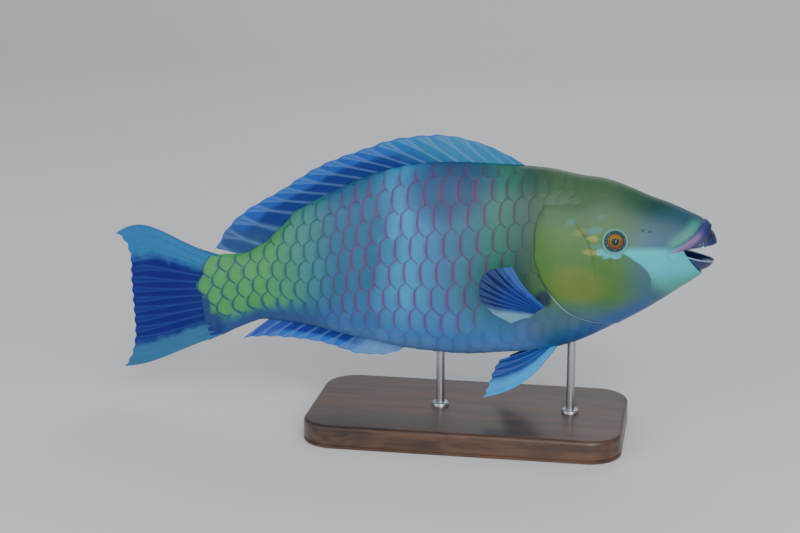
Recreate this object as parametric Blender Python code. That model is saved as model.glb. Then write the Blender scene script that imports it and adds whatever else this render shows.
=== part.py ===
"""A life-size parrotfish, still, held over a flat base by two short rods.

Metres, +Z up. +X runs toward the snout and +Y is the fish's left, so its right side faces -Y.
The origin is the centre of the base's underside. The flesh is one lofted surface, parted by thin
cuts into head, lower jaw, torso and tail stalk. Fins, gill covers, eyes and the two beak plates
are pieces of their own, set on that surface with a thin gap of air.
"""

import math
from dataclasses import dataclass

import bmesh
import bpy
import numpy as np
from mathutils import Matrix, Vector

GAP = 0.0003

# Body plan: what the side and top views show at each station


@dataclass(frozen=True)
class Station:
    """One upright section of the flesh: where it is, how high and how wide."""

    x: float
    top: float
    bottom: float
    half_width: float
    widest: float


BODY_PLAN = (
    Station(0.1415, 0.1325, 0.1048, 0.0112, 0.1200),
    Station(0.1370, 0.1368, 0.1020, 0.0124, 0.1196),
    Station(0.1280, 0.1410, 0.0968, 0.0144, 0.1190),
    Station(0.1170, 0.1455, 0.0898, 0.0167, 0.1180),
    Station(0.1050, 0.1495, 0.0818, 0.0189, 0.1165),
    Station(0.0930, 0.1543, 0.0745, 0.0207, 0.1150),
    Station(0.0820, 0.1580, 0.0678, 0.0223, 0.1135),
    Station(0.0640, 0.1612, 0.0588, 0.0243, 0.1110),
    Station(0.0450, 0.1642, 0.0530, 0.0252, 0.1085),
    Station(0.0200, 0.1654, 0.0501, 0.0252, 0.1065),
    Station(-0.0050, 0.1658, 0.0480, 0.0241, 0.1055),
    Station(-0.0300, 0.1642, 0.0490, 0.0222, 0.1050),
    Station(-0.0550, 0.1585, 0.0525, 0.0194, 0.1042),
    Station(-0.0800, 0.1472, 0.0568, 0.0160, 0.1015),
    Station(-0.1050, 0.1325, 0.0610, 0.0124, 0.0945),
    Station(-0.1250, 0.1125, 0.0620, 0.0096, 0.0865),
    Station(-0.1400, 0.1037, 0.0566, 0.0075, 0.0800),
    Station(-0.1550, 0.1022, 0.0488, 0.0052, 0.0755),
    Station(-0.1700, 0.1058, 0.0415, 0.0032, 0.0740),
)
BACK_ROUNDNESS = 1.12
BELLY_ROUNDNESS = 0.86
TAIL_BEND_START = -0.080
TAIL_BEND = 0.82

# Mouth: the rim where the lips end, seen from the side
RIM_X = 0.1415
RIM_CORNER_X = 0.1260
RIM_CHIN_X = 0.1370
RIM_CORNER_SHARPNESS = 0.2
RIM_UPPER_POWER = 1.3
RIM_LOWER_POWER = 1.2
SNOUT_START_X = 0.1050
LIP_BACK_X = 0.1345
LIP_SWELL = 0.0007
LIP_FADE_POWER = 0.5

# Beak: two half domes of tooth plate that share this centre
BEAK_CENTRE = (0.1240, 0.0, 0.1196)
BEAK_LENGTH = 0.0210
BEAK_HALF_WIDTH = 0.0094
BEAK_UPPER_HEIGHT = 0.0158
BEAK_LOWER_HEIGHT = 0.0146
BEAK_SQUARENESS = 2.6
BEAK_WALL = 0.0026
BEAK_EDGE_WALL = 0.0009
BEAK_UPPER_EDGE_RISE = 0.0030
BEAK_LOWER_EDGE_DROP = 0.0066
BEAK_CORNER_STEP = 0.0004
BEAK_EDGE_POWER = 1.2
BEAK_LOWER_EDGE_POWER = 0.36
BEAK_ROOT_X = 0.1185

# Cuts, as (z, x) points of a side view from the top down
GILL_CUT = (
    (0.175, 0.0600), (0.160, 0.0520), (0.145, 0.0448), (0.130, 0.0412), (0.117, 0.0412),
    (0.106, 0.0442), (0.097, 0.0492), (0.089, 0.0552), (0.082, 0.0625), (0.077, 0.0735),
    (0.0735, 0.0880), (0.071, 0.1000),
)
STALK_CUT = ((0.125, -0.1440), (0.103, -0.1400), (0.080, -0.1320), (0.055, -0.1240))
TAIL_CUT = ((0.112, -0.1560), (0.095, -0.1605), (0.074, -0.1640), (0.054, -0.1605), (0.036, -0.1560))
JAW_CUT = ((0.1256, 0.1196), (0.1222, 0.1080), (0.1170, 0.0960), (0.1120, 0.0780))
GILL_CUT_RANGE = (0.0350, 0.1040)
STALK_CUT_RANGE = (-0.1600, -0.1000)
TAIL_CUT_RANGE = (-0.1695, -0.1450)
JAW_REACH_X = 0.1600
JAW_FLOOR_Z = 0.0700

# Gill covers: plates raised toward their free rear edge
GILL_FRONT = (
    (0.1410, 0.0535), (0.1350, 0.0635), (0.1220, 0.0720), (0.1080, 0.0752), (0.0940, 0.0768),
    (0.0830, 0.0795), (0.0760, 0.0830),
)
GILL_TOP_Z = 0.1400
GILL_FOOT_Z = 0.0770
GILL_DEPTH = 0.0030
GILL_LIFT = 0.0014
GILL_LIFT_RATE = 1.2
GILL_END_LIFT = 0.35
POCKET_MARGIN = 0.0060

# Eyes
EYE_X = 0.0870
EYE_Z = 0.1262
EYE_RADIUS = 0.0080
EYE_SINK = 0.0057
EYE_RIM_RADIUS = 0.0067
EYE_RIM_THICKNESS = 0.0009
EYE_RIM_BREADTH = 1.6
SOCKET_GAP = 0.00035

# Nostrils: a pair of pits on each side, as (x, z)
NOSTRILS = ((0.1062, 0.1318), (0.1020, 0.1326))
NOSTRIL_RADIUS = 0.0009
NOSTRIL_SINK = 0.0002

# Stand
BASE_LENGTH = 0.190
BASE_WIDTH = 0.100
BASE_HEIGHT = 0.014
BASE_CORNER = 0.020
BASE_CHAMFER = 0.0025
ROD_RADIUS = 0.0025
ROD_SIDES = 16
ROD_FRONT_X = 0.0620
ROD_REAR_X = -0.0170
ROD_FOOT_DEPTH = 0.0080
ROD_HEAD_DEPTH = 0.0120
ROD_CLEARANCE = 0.00036
HOLE_OVERRUN = 0.0100

# Mesh fineness
AROUND = 32
HEAD_ROWS = 21
TORSO_ROWS = 27
STALK_ROWS = 7
EYE_MESH = (20, 12)
SOCKET_MESH = (24, 14)
NOSTRIL_MESH = (8, 5)
NORMAL_STEP = 0.0001
NORMAL_TURN = 0.0033
HALVINGS = 40

# Thickness of the fins, from the middle surface to one face
WEB_ROOT = 0.00045
WEB_EDGE = 0.00028
RAY_ROOT = 0.00065
RAY_EDGE = 0.00015
RAY_START = 0.12
RAY_HALF_WIDTH = 0.24
ROOT_PAD_REACH = 0.3


def smooth_curve(xs, ys):
    """Return a function through the points that never overshoots them.

    Args:
        xs: places in rising order.
        ys: values, of one or more columns.

    Returns:
        A function from place to value, a monotone cubic in each column.
    """
    xs = np.asarray(xs, dtype=float)
    ys = np.asarray(ys, dtype=float).reshape(len(xs), -1)
    step = np.diff(xs)[:, None]
    slope = np.diff(ys, axis=0) / step
    tangent = np.zeros_like(ys)
    tangent[0] = slope[0]
    tangent[-1] = slope[-1]
    for i in range(1, len(xs) - 1):
        before, after = slope[i - 1], slope[i]
        weight_before = 2.0 * step[i] + step[i - 1]
        weight_after = step[i] + 2.0 * step[i - 1]
        same_way = before * after > 0.0
        safe_before = np.where(same_way, before, 1.0)
        safe_after = np.where(same_way, after, 1.0)
        mean = (weight_before + weight_after) / (weight_before / safe_before + weight_after / safe_after)
        tangent[i] = np.where(same_way, mean, 0.0)

    def value(x):
        x = min(max(x, xs[0]), xs[-1])
        i = min(max(int(np.searchsorted(xs, x)) - 1, 0), len(xs) - 2)
        width = xs[i + 1] - xs[i]
        t = (x - xs[i]) / width
        start = (1.0 + 2.0 * t) * (1.0 - t) ** 2 * ys[i] + t * (1.0 - t) ** 2 * width * tangent[i]
        end = t * t * (3.0 - 2.0 * t) * ys[i + 1] + t * t * (t - 1.0) * width * tangent[i + 1]
        return start + end

    return value


def path(points):
    """Return a function from 0..1 to a point along a smooth line through the points."""
    points = np.asarray(points, dtype=float)
    run = np.concatenate([[0.0], np.cumsum(np.linalg.norm(np.diff(points, axis=0), axis=1))])
    return smooth_curve(run / run[-1], points)


def ease(t):
    """Rise smoothly from 0 to 1 while t does."""
    t = min(max(t, 0.0), 1.0)
    return t * t * (3.0 - 2.0 * t)


def signed_power(value, power):
    """Raise the size of a value to a power and keep its sign."""
    return math.copysign(abs(value) ** power, value)


plan = smooth_curve(
    [s.x for s in reversed(BODY_PLAN)],
    [(s.top, s.bottom, s.half_width, s.widest) for s in reversed(BODY_PLAN)],
)


def side_cut(points):
    """Return a function from height to x for a cut given as (z, x) points from the top down."""
    rising = sorted(points)
    curve = smooth_curve([z for z, _ in rising], [x for _, x in rising])
    return lambda z: float(curve(z)[0])


def shifted_cut(points, distance, samples=120):
    """Return the cut moved rearward by a distance square to itself."""
    curve = side_cut(points)
    heights = np.linspace(min(points)[0], max(points)[0], samples)
    line = np.array([(z, curve(z)) for z in heights])
    along = np.gradient(line, axis=0)
    along /= np.linalg.norm(along, axis=1)[:, None]
    moved = line + distance * np.stack([along[:, 1], -along[:, 0]], axis=1)
    moved = moved[np.argsort(moved[:, 0])]
    return lambda z: float(np.interp(z, moved[:, 0], moved[:, 1]))


def bend(x):
    """Sideways place of the middle plane: the tail swings toward the fish's left."""
    return TAIL_BEND * max(0.0, TAIL_BEND_START - x) ** 2


def rim_x(rise):
    """Side view of the mouth's rim.

    Args:
        rise: 1 at the top lip's middle, 0 at the corner of the mouth, -1 at the chin.

    Returns:
        The rim's x there.
    """
    if rise < 0.0:
        return RIM_CORNER_X + (RIM_CHIN_X - RIM_CORNER_X) * abs(rise) ** RIM_LOWER_POWER
    fall = 1.0 / (1.0 + (rise / RIM_CORNER_SHARPNESS) ** RIM_UPPER_POWER)
    at_middle = 1.0 / (1.0 + (1.0 / RIM_CORNER_SHARPNESS) ** RIM_UPPER_POWER)
    return RIM_X - (RIM_X - RIM_CORNER_X) * (fall - at_middle) / (1.0 - at_middle)


def flesh(x, angle):
    """Point of the flesh.

    Args:
        x: station along the body, before the snout's sections bend back at the mouth's corners.
        angle: 0 at the back, a quarter turn at the left side, a half turn at the belly.

    Returns:
        The point as an array.
    """
    top, bottom, half_width, widest = plan(x)
    rise = math.cos(angle)
    side = math.sin(angle)
    roundness = BACK_ROUNDNESS if rise >= 0.0 else BELLY_ROUNDNESS
    reach = top - widest if rise >= 0.0 else widest - bottom
    snout = max(0.0, (x - SNOUT_START_X) / (RIM_X - SNOUT_START_X)) ** 2
    y = half_width * signed_power(side, roundness) + bend(x)
    return np.array([x - snout * (RIM_X - rim_x(rise)), y, widest + reach * rise])


def flesh_normal(x, angle):
    """Outward direction of the flesh at a station and an angle."""
    along = flesh(x + NORMAL_STEP, angle) - flesh(x - NORMAL_STEP, angle)
    around = flesh(x, angle + NORMAL_TURN) - flesh(x, angle - NORMAL_TURN)
    normal = np.cross(along, around)
    return normal / np.linalg.norm(normal)


def skin(x, angle, swell=0.0):
    """Point of the flesh moved outward by a swelling, with the roll of the upper lip added."""
    lip = 0.0
    rise = math.cos(angle)
    if x > LIP_BACK_X and rise > 0.0:
        run = (x - LIP_BACK_X) / (RIM_X - LIP_BACK_X)
        lip = LIP_SWELL * math.sin(math.pi * run) * rise ** LIP_FADE_POWER
    if swell + lip == 0.0:
        return flesh(x, angle)
    return flesh(x, angle) + (swell + lip) * flesh_normal(x, angle)


def station_at_cut(cut, angle, low, high):
    """Find the station where the flesh at one angle crosses a cut, by halving the range."""
    for _ in range(HALVINGS):
        middle = 0.5 * (low + high)
        point = flesh(middle, angle)
        if middle - cut(point[2]) > 0.0:
            high = middle
        else:
            low = middle
    return 0.5 * (low + high)


def faceted_cut(cut, low, high):
    """Return a cut as the straight runs that the lofted sections make of it."""
    angles = [2.0 * math.pi * j / AROUND for j in range(AROUND // 2, -1, -1)]
    stations = [station_at_cut(cut, angle, low, high) for angle in angles]
    heights = [flesh(x, angle)[2] for x, angle in zip(stations, angles)]
    return lambda z: float(np.interp(z, heights, stations))


def angle_at_height(x, z):
    """Angle on the left side where the flesh at a station has this height."""
    top, bottom, _, widest = plan(x)
    reach = top - widest if z >= widest else widest - bottom
    return math.acos(min(max((z - widest) / reach, -1.0), 1.0))


def flank(x, z, side):
    """Point and outward direction of the flesh on one side at a station and a height."""
    angle = angle_at_height(x, z) * side
    return flesh(x, angle), flesh_normal(x, angle)


# Mesh helpers


def material(name, colour, roughness, metallic=0.0):
    """Make a plain Principled material."""
    made = bpy.data.materials.new(name)
    made.use_nodes = True
    shader = made.node_tree.nodes["Principled BSDF"]
    shader.inputs["Base Color"].default_value = (*colour, 1.0)
    shader.inputs["Roughness"].default_value = roughness
    shader.inputs["Metallic"].default_value = metallic
    return made


def add_object(name, points, faces, finish=None):
    """Make an object from points and faces, all facing out."""
    mesh = bpy.data.meshes.new(name)
    mesh.from_pydata([tuple(p) for p in points], [], faces)
    shape = bmesh.new()
    shape.from_mesh(mesh)
    bmesh.ops.recalc_face_normals(shape, faces=shape.faces)
    shape.to_mesh(mesh)
    shape.free()
    made = bpy.data.objects.new(name, mesh)
    bpy.context.scene.collection.objects.link(made)
    if finish is not None:
        mesh.materials.append(finish)
    return made


def keep_largest(target):
    """Drop every closed surface of an object but its largest one."""
    shape = bmesh.new()
    shape.from_mesh(target.data)
    unseen = set(shape.faces)
    islands = []
    while unseen:
        front = [unseen.pop()]
        island = list(front)
        while front:
            face = front.pop()
            for edge in face.edges:
                for other in edge.link_faces:
                    if other in unseen:
                        unseen.remove(other)
                        front.append(other)
                        island.append(other)
        islands.append(island)
    islands.sort(key=lambda faces: sum(f.calc_area() for f in faces))
    for island in islands[:-1]:
        bmesh.ops.delete(shape, geom=island, context="FACES")
    shape.to_mesh(target.data)
    shape.free()


def combine(target, others, operation):
    """Apply one Boolean of all the others to the target, and remove them."""
    group = bpy.data.collections.new("operands")
    bpy.context.scene.collection.children.link(group)
    for other in others:
        bpy.context.scene.collection.objects.unlink(other)
        group.objects.link(other)
    step = target.modifiers.new("join", "BOOLEAN")
    step.operation = operation
    step.solver = "EXACT"
    step.operand_type = "COLLECTION"
    step.collection = group
    evaluated = target.evaluated_get(bpy.context.evaluated_depsgraph_get())
    result = bpy.data.meshes.new_from_object(evaluated)
    target.modifiers.clear()
    old = target.data
    target.data = result
    bpy.data.meshes.remove(old)
    for other in others:
        bpy.data.objects.remove(other)
    bpy.data.collections.remove(group)
    keep_largest(target)


def tube(name, rings, finish=None):
    """Close a run of equal rings, symmetrical left to right, with flat strips at both ends."""
    around = len(rings[0])
    points = [p for ring in rings for p in ring]
    faces = []
    for i in range(len(rings) - 1):
        for j in range(around):
            k = (j + 1) % around
            faces.append((i * around + j, i * around + k, (i + 1) * around + k, (i + 1) * around + j))
    for start in (0, (len(rings) - 1) * around):
        faces.append((start, start + 1, start + around - 1))
        for j in range(1, around // 2 - 1):
            faces.append((start + j, start + j + 1, start + around - j - 1, start + around - j))
        half = around // 2
        faces.append((start + half - 1, start + half, start + half + 1))
    return add_object(name, points, faces, finish)


def flesh_rings(stretch_of_body, swell=0.0):
    """Place the sections of one stretch of the flesh.

    Args:
        stretch_of_body: where the stretch ends, how many sections it has and how they crowd.
        swell: distance the surface is moved outward.

    Returns:
        A list of rings of points, from the rear to the front.
    """
    rear, front, rows, crowding = stretch_of_body
    rings = []
    for i in range(rows):
        share = 1.0 - (1.0 - i / (rows - 1)) ** crowding
        ring = []
        for j in range(AROUND):
            angle = 2.0 * math.pi * j / AROUND
            start = rear(angle)
            ring.append(skin(start + (front(angle) - start) * share, angle, swell))
        rings.append(ring)
    return rings


def ball(name, centre, radius, fineness, finish=None):
    """Make a sphere with its poles facing up and down."""
    segments, rings = fineness
    shape = bmesh.new()
    bmesh.ops.create_uvsphere(shape, u_segments=segments, v_segments=rings, radius=radius)
    mesh = bpy.data.meshes.new(name)
    shape.to_mesh(mesh)
    shape.free()
    mesh.transform(Matrix.Translation(Vector(centre)))
    made = bpy.data.objects.new(name, mesh)
    bpy.context.scene.collection.objects.link(made)
    if finish is not None:
        mesh.materials.append(finish)
    return made


def rod(name, x, low, high, radius, sides, finish=None):
    """Make an upright round bar on the middle plane."""
    angles = [2.0 * math.pi * k / sides for k in range(sides)]
    ring = [(x + radius * math.cos(a), radius * math.sin(a)) for a in angles]
    points = [(*p, low) for p in ring] + [(*p, high) for p in ring]
    faces = [tuple(range(sides)), tuple(range(sides, 2 * sides))]
    faces += [(k, (k + 1) % sides, sides + (k + 1) % sides, sides + k) for k in range(sides)]
    return add_object(name, points, faces, finish)


# Fins


@dataclass(frozen=True)
class Fin:
    """A webbed fin: where its rays start, where they end and how they bow."""

    name: str
    rays: int
    root: object
    margin: object
    rows: tuple
    bow: object
    notch: float
    root_pad: float = 0.0


def fin_columns(fin):
    """List the fin's columns as (share, is_crest): a crest on each ray, with a foot on either side."""
    spacing = 1.0 / (fin.rays - 1)
    columns = []
    for i in range(fin.rays):
        if i > 0:
            columns.append(((i - RAY_HALF_WIDTH) * spacing, False))
        columns.append((i * spacing, True))
        if i < fin.rays - 1:
            columns.append(((i + RAY_HALF_WIDTH) * spacing, False))
    return columns


def fin_grid(fin):
    """Place the fin's middle surface, column by column."""
    grid = []
    for share, is_crest in fin_columns(fin):
        reach = 1.0 if is_crest else 1.0 - fin.notch
        start = np.array(fin.root(share))
        end = np.array(fin.margin(share))
        grid.append([start + (end - start) * v * reach + fin.bow(share, v * reach) for v in fin.rows])
    return np.array(grid)


def half_thickness(fin, is_crest, v):
    """Distance from the fin's middle surface to either face, v of the way to the margin."""
    half = WEB_ROOT + (WEB_EDGE - WEB_ROOT) * v
    if is_crest:
        half += ease((v - RAY_START) / RAY_START) * (RAY_ROOT + (RAY_EDGE - RAY_ROOT) * v)
    return half + fin.root_pad * (1.0 - ease(v / ROOT_PAD_REACH))


def fin_object(fin, finish):
    """Give the fin's middle surface its thickness, with the rays as ridges in both faces."""
    grid = fin_grid(fin)
    columns, rows = grid.shape[:2]
    normal = np.cross(np.gradient(grid, axis=0), np.gradient(grid, axis=1))
    normal /= np.linalg.norm(normal, axis=2)[:, :, None]
    halves = np.array([[half_thickness(fin, crest, v) for v in fin.rows] for _, crest in fin_columns(fin)])
    offset = halves[:, :, None] * normal
    points = np.concatenate([(grid + offset).reshape(-1, 3), (grid - offset).reshape(-1, 3)])
    return add_object(fin.name, points, sheet_faces(columns, rows), finish)


def sheet_faces(columns, rows):
    """Join two like grids of points into a closed sheet, split into triangles alike on both faces."""
    size = columns * rows
    faces = []
    for i in range(columns - 1):
        for j in range(rows - 1):
            a, b = i * rows + j, (i + 1) * rows + j
            faces += [(a, b, b + 1), (a, b + 1, a + 1)]
            faces += [(size + a, size + b + 1, size + b), (size + a, size + a + 1, size + b + 1)]
    border = [(i, 0) for i in range(columns)]
    border += [(columns - 1, j) for j in range(1, rows)]
    border += [(i, rows - 1) for i in range(columns - 2, -1, -1)]
    border += [(0, j) for j in range(rows - 2, 0, -1)]
    ids = [i * rows + j for i, j in border]
    for a, b in zip(ids, ids[1:] + ids[:1]):
        faces += [(a, size + b, b), (a, size + a, size + b)]
    return faces


def mirrored(function):
    """Return a function that gives the other side's point."""
    return lambda *args: np.array(function(*args)) * np.array([1.0, -1.0, 1.0])


# Dorsal fin, half folded: the rays lean far back
DORSAL_RAYS = 19
DORSAL_ROOT_X = (0.0360, -0.1385)
DORSAL_SINK = 0.0022
DORSAL_MARGIN = (
    (0.0250, 0.1690), (0.0060, 0.1768), (-0.0180, 0.1810), (-0.0420, 0.1785), (-0.0660, 0.1705),
    (-0.0900, 0.1605), (-0.1150, 0.1440), (-0.1400, 0.1280), (-0.1500, 0.1180), (-0.1575, 0.1050),
)
DORSAL_SWAY = 0.0012
DORSAL_SWAYS = 3.0

# Anal fin
ANAL_RAYS = 12
ANAL_ROOT_X = (-0.0360, -0.1215)
ANAL_SINK = 0.0022
ANAL_MARGIN = (
    (-0.0430, 0.0468), (-0.0540, 0.0440), (-0.0670, 0.0438), (-0.0790, 0.0468), (-0.0920, 0.0500),
    (-0.1050, 0.0512), (-0.1180, 0.0515), (-0.1300, 0.0508), (-0.1410, 0.0488),
)

# Tail fin
CAUDAL_RAYS = 15
CAUDAL_ROOT = ((-0.1535, 0.1005), (-0.1580, 0.0900), (-0.1600, 0.0740), (-0.1580, 0.0600), (-0.1535, 0.0505))
CAUDAL_MARGIN = (
    (-0.2235, 0.1100), (-0.2170, 0.1035), (-0.2148, 0.0920), (-0.2152, 0.0790), (-0.2148, 0.0660),
    (-0.2142, 0.0465), (-0.2165, 0.0330), (-0.2225, 0.0217),
)
CAUDAL_TOP_BOW = 0.0090
CAUDAL_FOOT_BOW = 0.0026
CAUDAL_BOW_POWER = 2.0
CAUDAL_BOW_REACH = 2.6
CAUDAL_CURL = 0.0045

# Pectoral fins, as (x, outward, z)
PECTORAL_RAYS = 9
PECTORAL_ROOT = ((0.0475, 0.0852), (0.0385, 0.0785))
PECTORAL_SINK = 0.0020
PECTORAL_MARGIN = (
    (0.0305, 0.0465, 0.1155), (0.0215, 0.0560, 0.1165), (0.0140, 0.0585, 0.1105),
    (0.0130, 0.0555, 0.1010), (0.0190, 0.0480, 0.0890), (0.0300, 0.0370, 0.0790),
)
PECTORAL_BOW = (-0.0018, -0.0024, 0.0)

# Pelvic fins, as (x, outward, z)
PELVIC_RAYS = 6
PELVIC_ROOT = ((0.0560, 0.0075), (0.0475, 0.0068))
PELVIC_SINK = 0.0020
PELVIC_MARGIN = (
    (0.0110, 0.0160, 0.0255), (0.0128, 0.0155, 0.0300), (0.0150, 0.0140, 0.0370),
    (0.0172, 0.0115, 0.0430), (0.0200, 0.0085, 0.0475),
)
PELVIC_BOW = (0.0028, -0.0035, -0.0056)
FAR_PELVIC_MARGIN = (
    (0.0150, 0.0200, 0.0245), (0.0160, 0.0195, 0.0280), (0.0180, 0.0180, 0.0330),
    (0.0210, 0.0150, 0.0390), (0.0240, 0.0110, 0.0445),
)


def along_line(ends, share):
    """Walk from the first value to the last."""
    return np.array(ends[0]) + (np.array(ends[-1]) - np.array(ends[0])) * share


def back_root(share):
    """Where a dorsal ray starts, sunk under the back."""
    x = float(along_line(DORSAL_ROOT_X, share))
    return skin(x, 0.0) - DORSAL_SINK * flesh_normal(x, 0.0)


def belly_root(share):
    """Where an anal ray starts, sunk in the belly."""
    x = float(along_line(ANAL_ROOT_X, share))
    return skin(x, math.pi) - ANAL_SINK * flesh_normal(x, math.pi)


def in_middle_plane(points):
    """Return a path through side-view points that keeps to the bent middle plane."""
    line = path(points)

    def place(share):
        x, z = line(share)
        return np.array([x, bend(x), z])

    return place


def caudal_margin(share):
    """Rear edge of the tail fin, its upper lobe curled toward the right side."""
    x, y, z = in_middle_plane(CAUDAL_MARGIN)(share)
    return np.array([x, y - CAUDAL_CURL * (1.0 - share) ** 3, z])


def caudal_bow(share, v):
    """Bow of the tail fin's outer rays, away from the middle one."""
    lift = CAUDAL_TOP_BOW * max(0.0, 1.0 - CAUDAL_BOW_REACH * share)
    drop = CAUDAL_FOOT_BOW * max(0.0, 1.0 - CAUDAL_BOW_REACH * (1.0 - share))
    return np.array([0.0, 0.0, math.sin(math.pi * v ** CAUDAL_BOW_POWER) * (lift - drop)])


def pectoral_root(share):
    """Where a right pectoral ray starts, sunk in the flank."""
    x, z = along_line(PECTORAL_ROOT, share)
    point, normal = flank(x, z, -1.0)
    return point - PECTORAL_SINK * normal


def pectoral_margin(share):
    """Outer edge of the right pectoral fin."""
    x, y, z = path(PECTORAL_MARGIN)(share)
    return np.array([x, -y, z])


def pectoral_bow(share, v):
    """Hollow of the right pectoral fin, which opens forward."""
    return np.array(PECTORAL_BOW) * math.sin(math.pi * v)


def pelvic_root(share):
    """Where a right pelvic ray starts, sunk in the belly."""
    x, y = along_line(PELVIC_ROOT, share)
    half_width = plan(x)[2]
    angle = math.pi - math.asin((y / half_width) ** (1.0 / BELLY_ROUNDNESS))
    return flesh(x, -angle) - PELVIC_SINK * flesh_normal(x, -angle)


def pelvic_margin(share):
    """Outer edge of the right pelvic fin."""
    x, y, z = path(PELVIC_MARGIN)(share)
    return np.array([x, -y, z])


def pelvic_bow(share, v):
    """Forward bow of the pelvic fin's leading rays."""
    return np.array(PELVIC_BOW) * math.sin(math.pi * v) * (1.0 - share)


def far_pelvic_margin(share):
    """Outer edge of the left pelvic fin, spread a little wider than the right one."""
    return path(FAR_PELVIC_MARGIN)(share)


def no_bow(share, v):
    """Leave the rays straight."""
    return np.zeros(3)


def dorsal_bow(share, v):
    """A light sway of the dorsal fin to either side."""
    return np.array([0.0, DORSAL_SWAY * v * math.sin(DORSAL_SWAYS * math.pi * share), 0.0])


COARSE_ROWS = (0.0, 0.2, 0.45, 0.72, 1.0)
FINE_ROWS = (0.0, 0.12, 0.3, 0.5, 0.68, 0.85, 1.0)

FINS = (
    Fin("dorsal_fin", DORSAL_RAYS, back_root, in_middle_plane(DORSAL_MARGIN), COARSE_ROWS, dorsal_bow,
        notch=0.07),
    Fin("anal_fin", ANAL_RAYS, belly_root, in_middle_plane(ANAL_MARGIN), COARSE_ROWS, no_bow, notch=0.05),
    Fin("caudal_fin", CAUDAL_RAYS, in_middle_plane(CAUDAL_ROOT), caudal_margin, FINE_ROWS, caudal_bow,
        notch=0.015),
    Fin("pectoral_fin_right", PECTORAL_RAYS, pectoral_root, pectoral_margin, FINE_ROWS, pectoral_bow,
        notch=0.04, root_pad=0.0009),
    Fin("pectoral_fin_left", PECTORAL_RAYS, mirrored(pectoral_root), mirrored(pectoral_margin), FINE_ROWS,
        mirrored(pectoral_bow), notch=0.04, root_pad=0.0009),
    Fin("pelvic_fin_right", PELVIC_RAYS, pelvic_root, pelvic_margin, FINE_ROWS, pelvic_bow,
        notch=0.04, root_pad=0.0004),
    Fin("pelvic_fin_left", PELVIC_RAYS, mirrored(pelvic_root), far_pelvic_margin, FINE_ROWS,
        mirrored(pelvic_bow), notch=0.04, root_pad=0.0004),
)


# Mouth and beak


def dome_point(plan_angle, tilt, inset=0.0):
    """Point on the beak's dome.

    Args:
        plan_angle: 0 straight ahead, a quarter turn to the left.
        tilt: 0 level with the bite, a quarter turn up or down.
        inset: how far inside the outer face, negative for outside.

    Returns:
        The point as an array.
    """
    power = 2.0 / BEAK_SQUARENESS
    height = BEAK_UPPER_HEIGHT if tilt >= 0.0 else BEAK_LOWER_HEIGHT
    level = signed_power(math.cos(tilt), power)
    return np.array([
        BEAK_CENTRE[0] + (BEAK_LENGTH - inset) * signed_power(math.cos(plan_angle), power) * level,
        (BEAK_HALF_WIDTH - inset) * signed_power(math.sin(plan_angle), power) * level,
        BEAK_CENTRE[2] + (height - inset) * signed_power(math.sin(tilt), power),
    ])


def beak_edge_tilt(plan_angle, upper):
    """Tilt of the cutting edge, which parts from the bite toward the front."""
    front = max(0.0, math.cos(plan_angle))
    if upper:
        rise = BEAK_CORNER_STEP + BEAK_UPPER_EDGE_RISE * front ** BEAK_EDGE_POWER
        return math.asin((rise / BEAK_UPPER_HEIGHT) ** (BEAK_SQUARENESS / 2.0))
    drop = BEAK_CORNER_STEP + BEAK_LOWER_EDGE_DROP * front ** BEAK_LOWER_EDGE_POWER
    return -math.asin((drop / BEAK_LOWER_HEIGHT) ** (BEAK_SQUARENESS / 2.0))


def beak_plate(name, upper, finish, across=18, down=7, turn=0.5 * math.pi, last_tilt=1.15):
    """Make one plate of the beak: a half dome with a thin cutting edge, open behind.

    Args:
        name: the object's name.
        upper: whether it is the upper plate.
        finish: material.
        across, down: number of strips each way.
        turn: plan angle at which the plate ends on each side.
        last_tilt: tilt at which its root ends, in radians.

    Returns:
        The closed object.
    """
    way = 1.0 if upper else -1.0
    grids = []
    for inner in (False, True):
        grid = []
        for i in range(across + 1):
            plan_angle = turn * (2.0 * i / across - 1.0)
            edge = beak_edge_tilt(plan_angle, upper)
            for j in range(down + 1):
                share = j / down
                tilt = edge + (way * last_tilt - edge) * share
                wall = BEAK_EDGE_WALL + (BEAK_WALL - BEAK_EDGE_WALL) * ease(2.0 * share)
                grid.append(dome_point(plan_angle, tilt, wall if inner else 0.0))
        grids.append(grid)
    points = grids[0] + grids[1]
    size = len(grids[0])
    rows = down + 1
    faces = []
    for i in range(across):
        for j in range(down):
            a, b = i * rows + j, (i + 1) * rows + j
            faces += [(a, b, b + 1, a + 1), (size + a, size + a + 1, size + b + 1, size + b)]
    for i in range(across):
        for j in (0, down):
            a, b = i * rows + j, (i + 1) * rows + j
            faces.append((a, b, size + b, size + a))
    for i in (0, across):
        for j in range(down):
            a = i * rows + j
            faces.append((a, a + 1, size + a + 1, size + a))
    return add_object(name, points, faces, finish)


def mouth_cutter(across=18, down=12):
    """The room that the beak fills: its dome swollen by the gap, and straight walls behind it."""
    rings = []
    tilts = [math.pi * (j / down - 0.5) for j in range(1, down)]
    points = []
    faces = []
    for tilt in tilts:
        ring = [dome_point(math.pi * (i / across - 0.5), tilt, -GAP) for i in range(across + 1)]
        left, right = ring[-1].copy(), ring[0].copy()
        left[0] = right[0] = BEAK_ROOT_X
        rings.append([right] + ring + [left])
    width = len(rings[0])
    for ring in rings:
        points += ring
    for i in range(len(rings) - 1):
        for j in range(width):
            k = (j + 1) % width
            faces.append((i * width + j, i * width + k, (i + 1) * width + k, (i + 1) * width + j))
    faces.append(tuple(range(width)))
    faces.append(tuple(range((len(rings) - 1) * width, len(rings) * width)))
    return add_object("mouth_cutter", points, faces)


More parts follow.
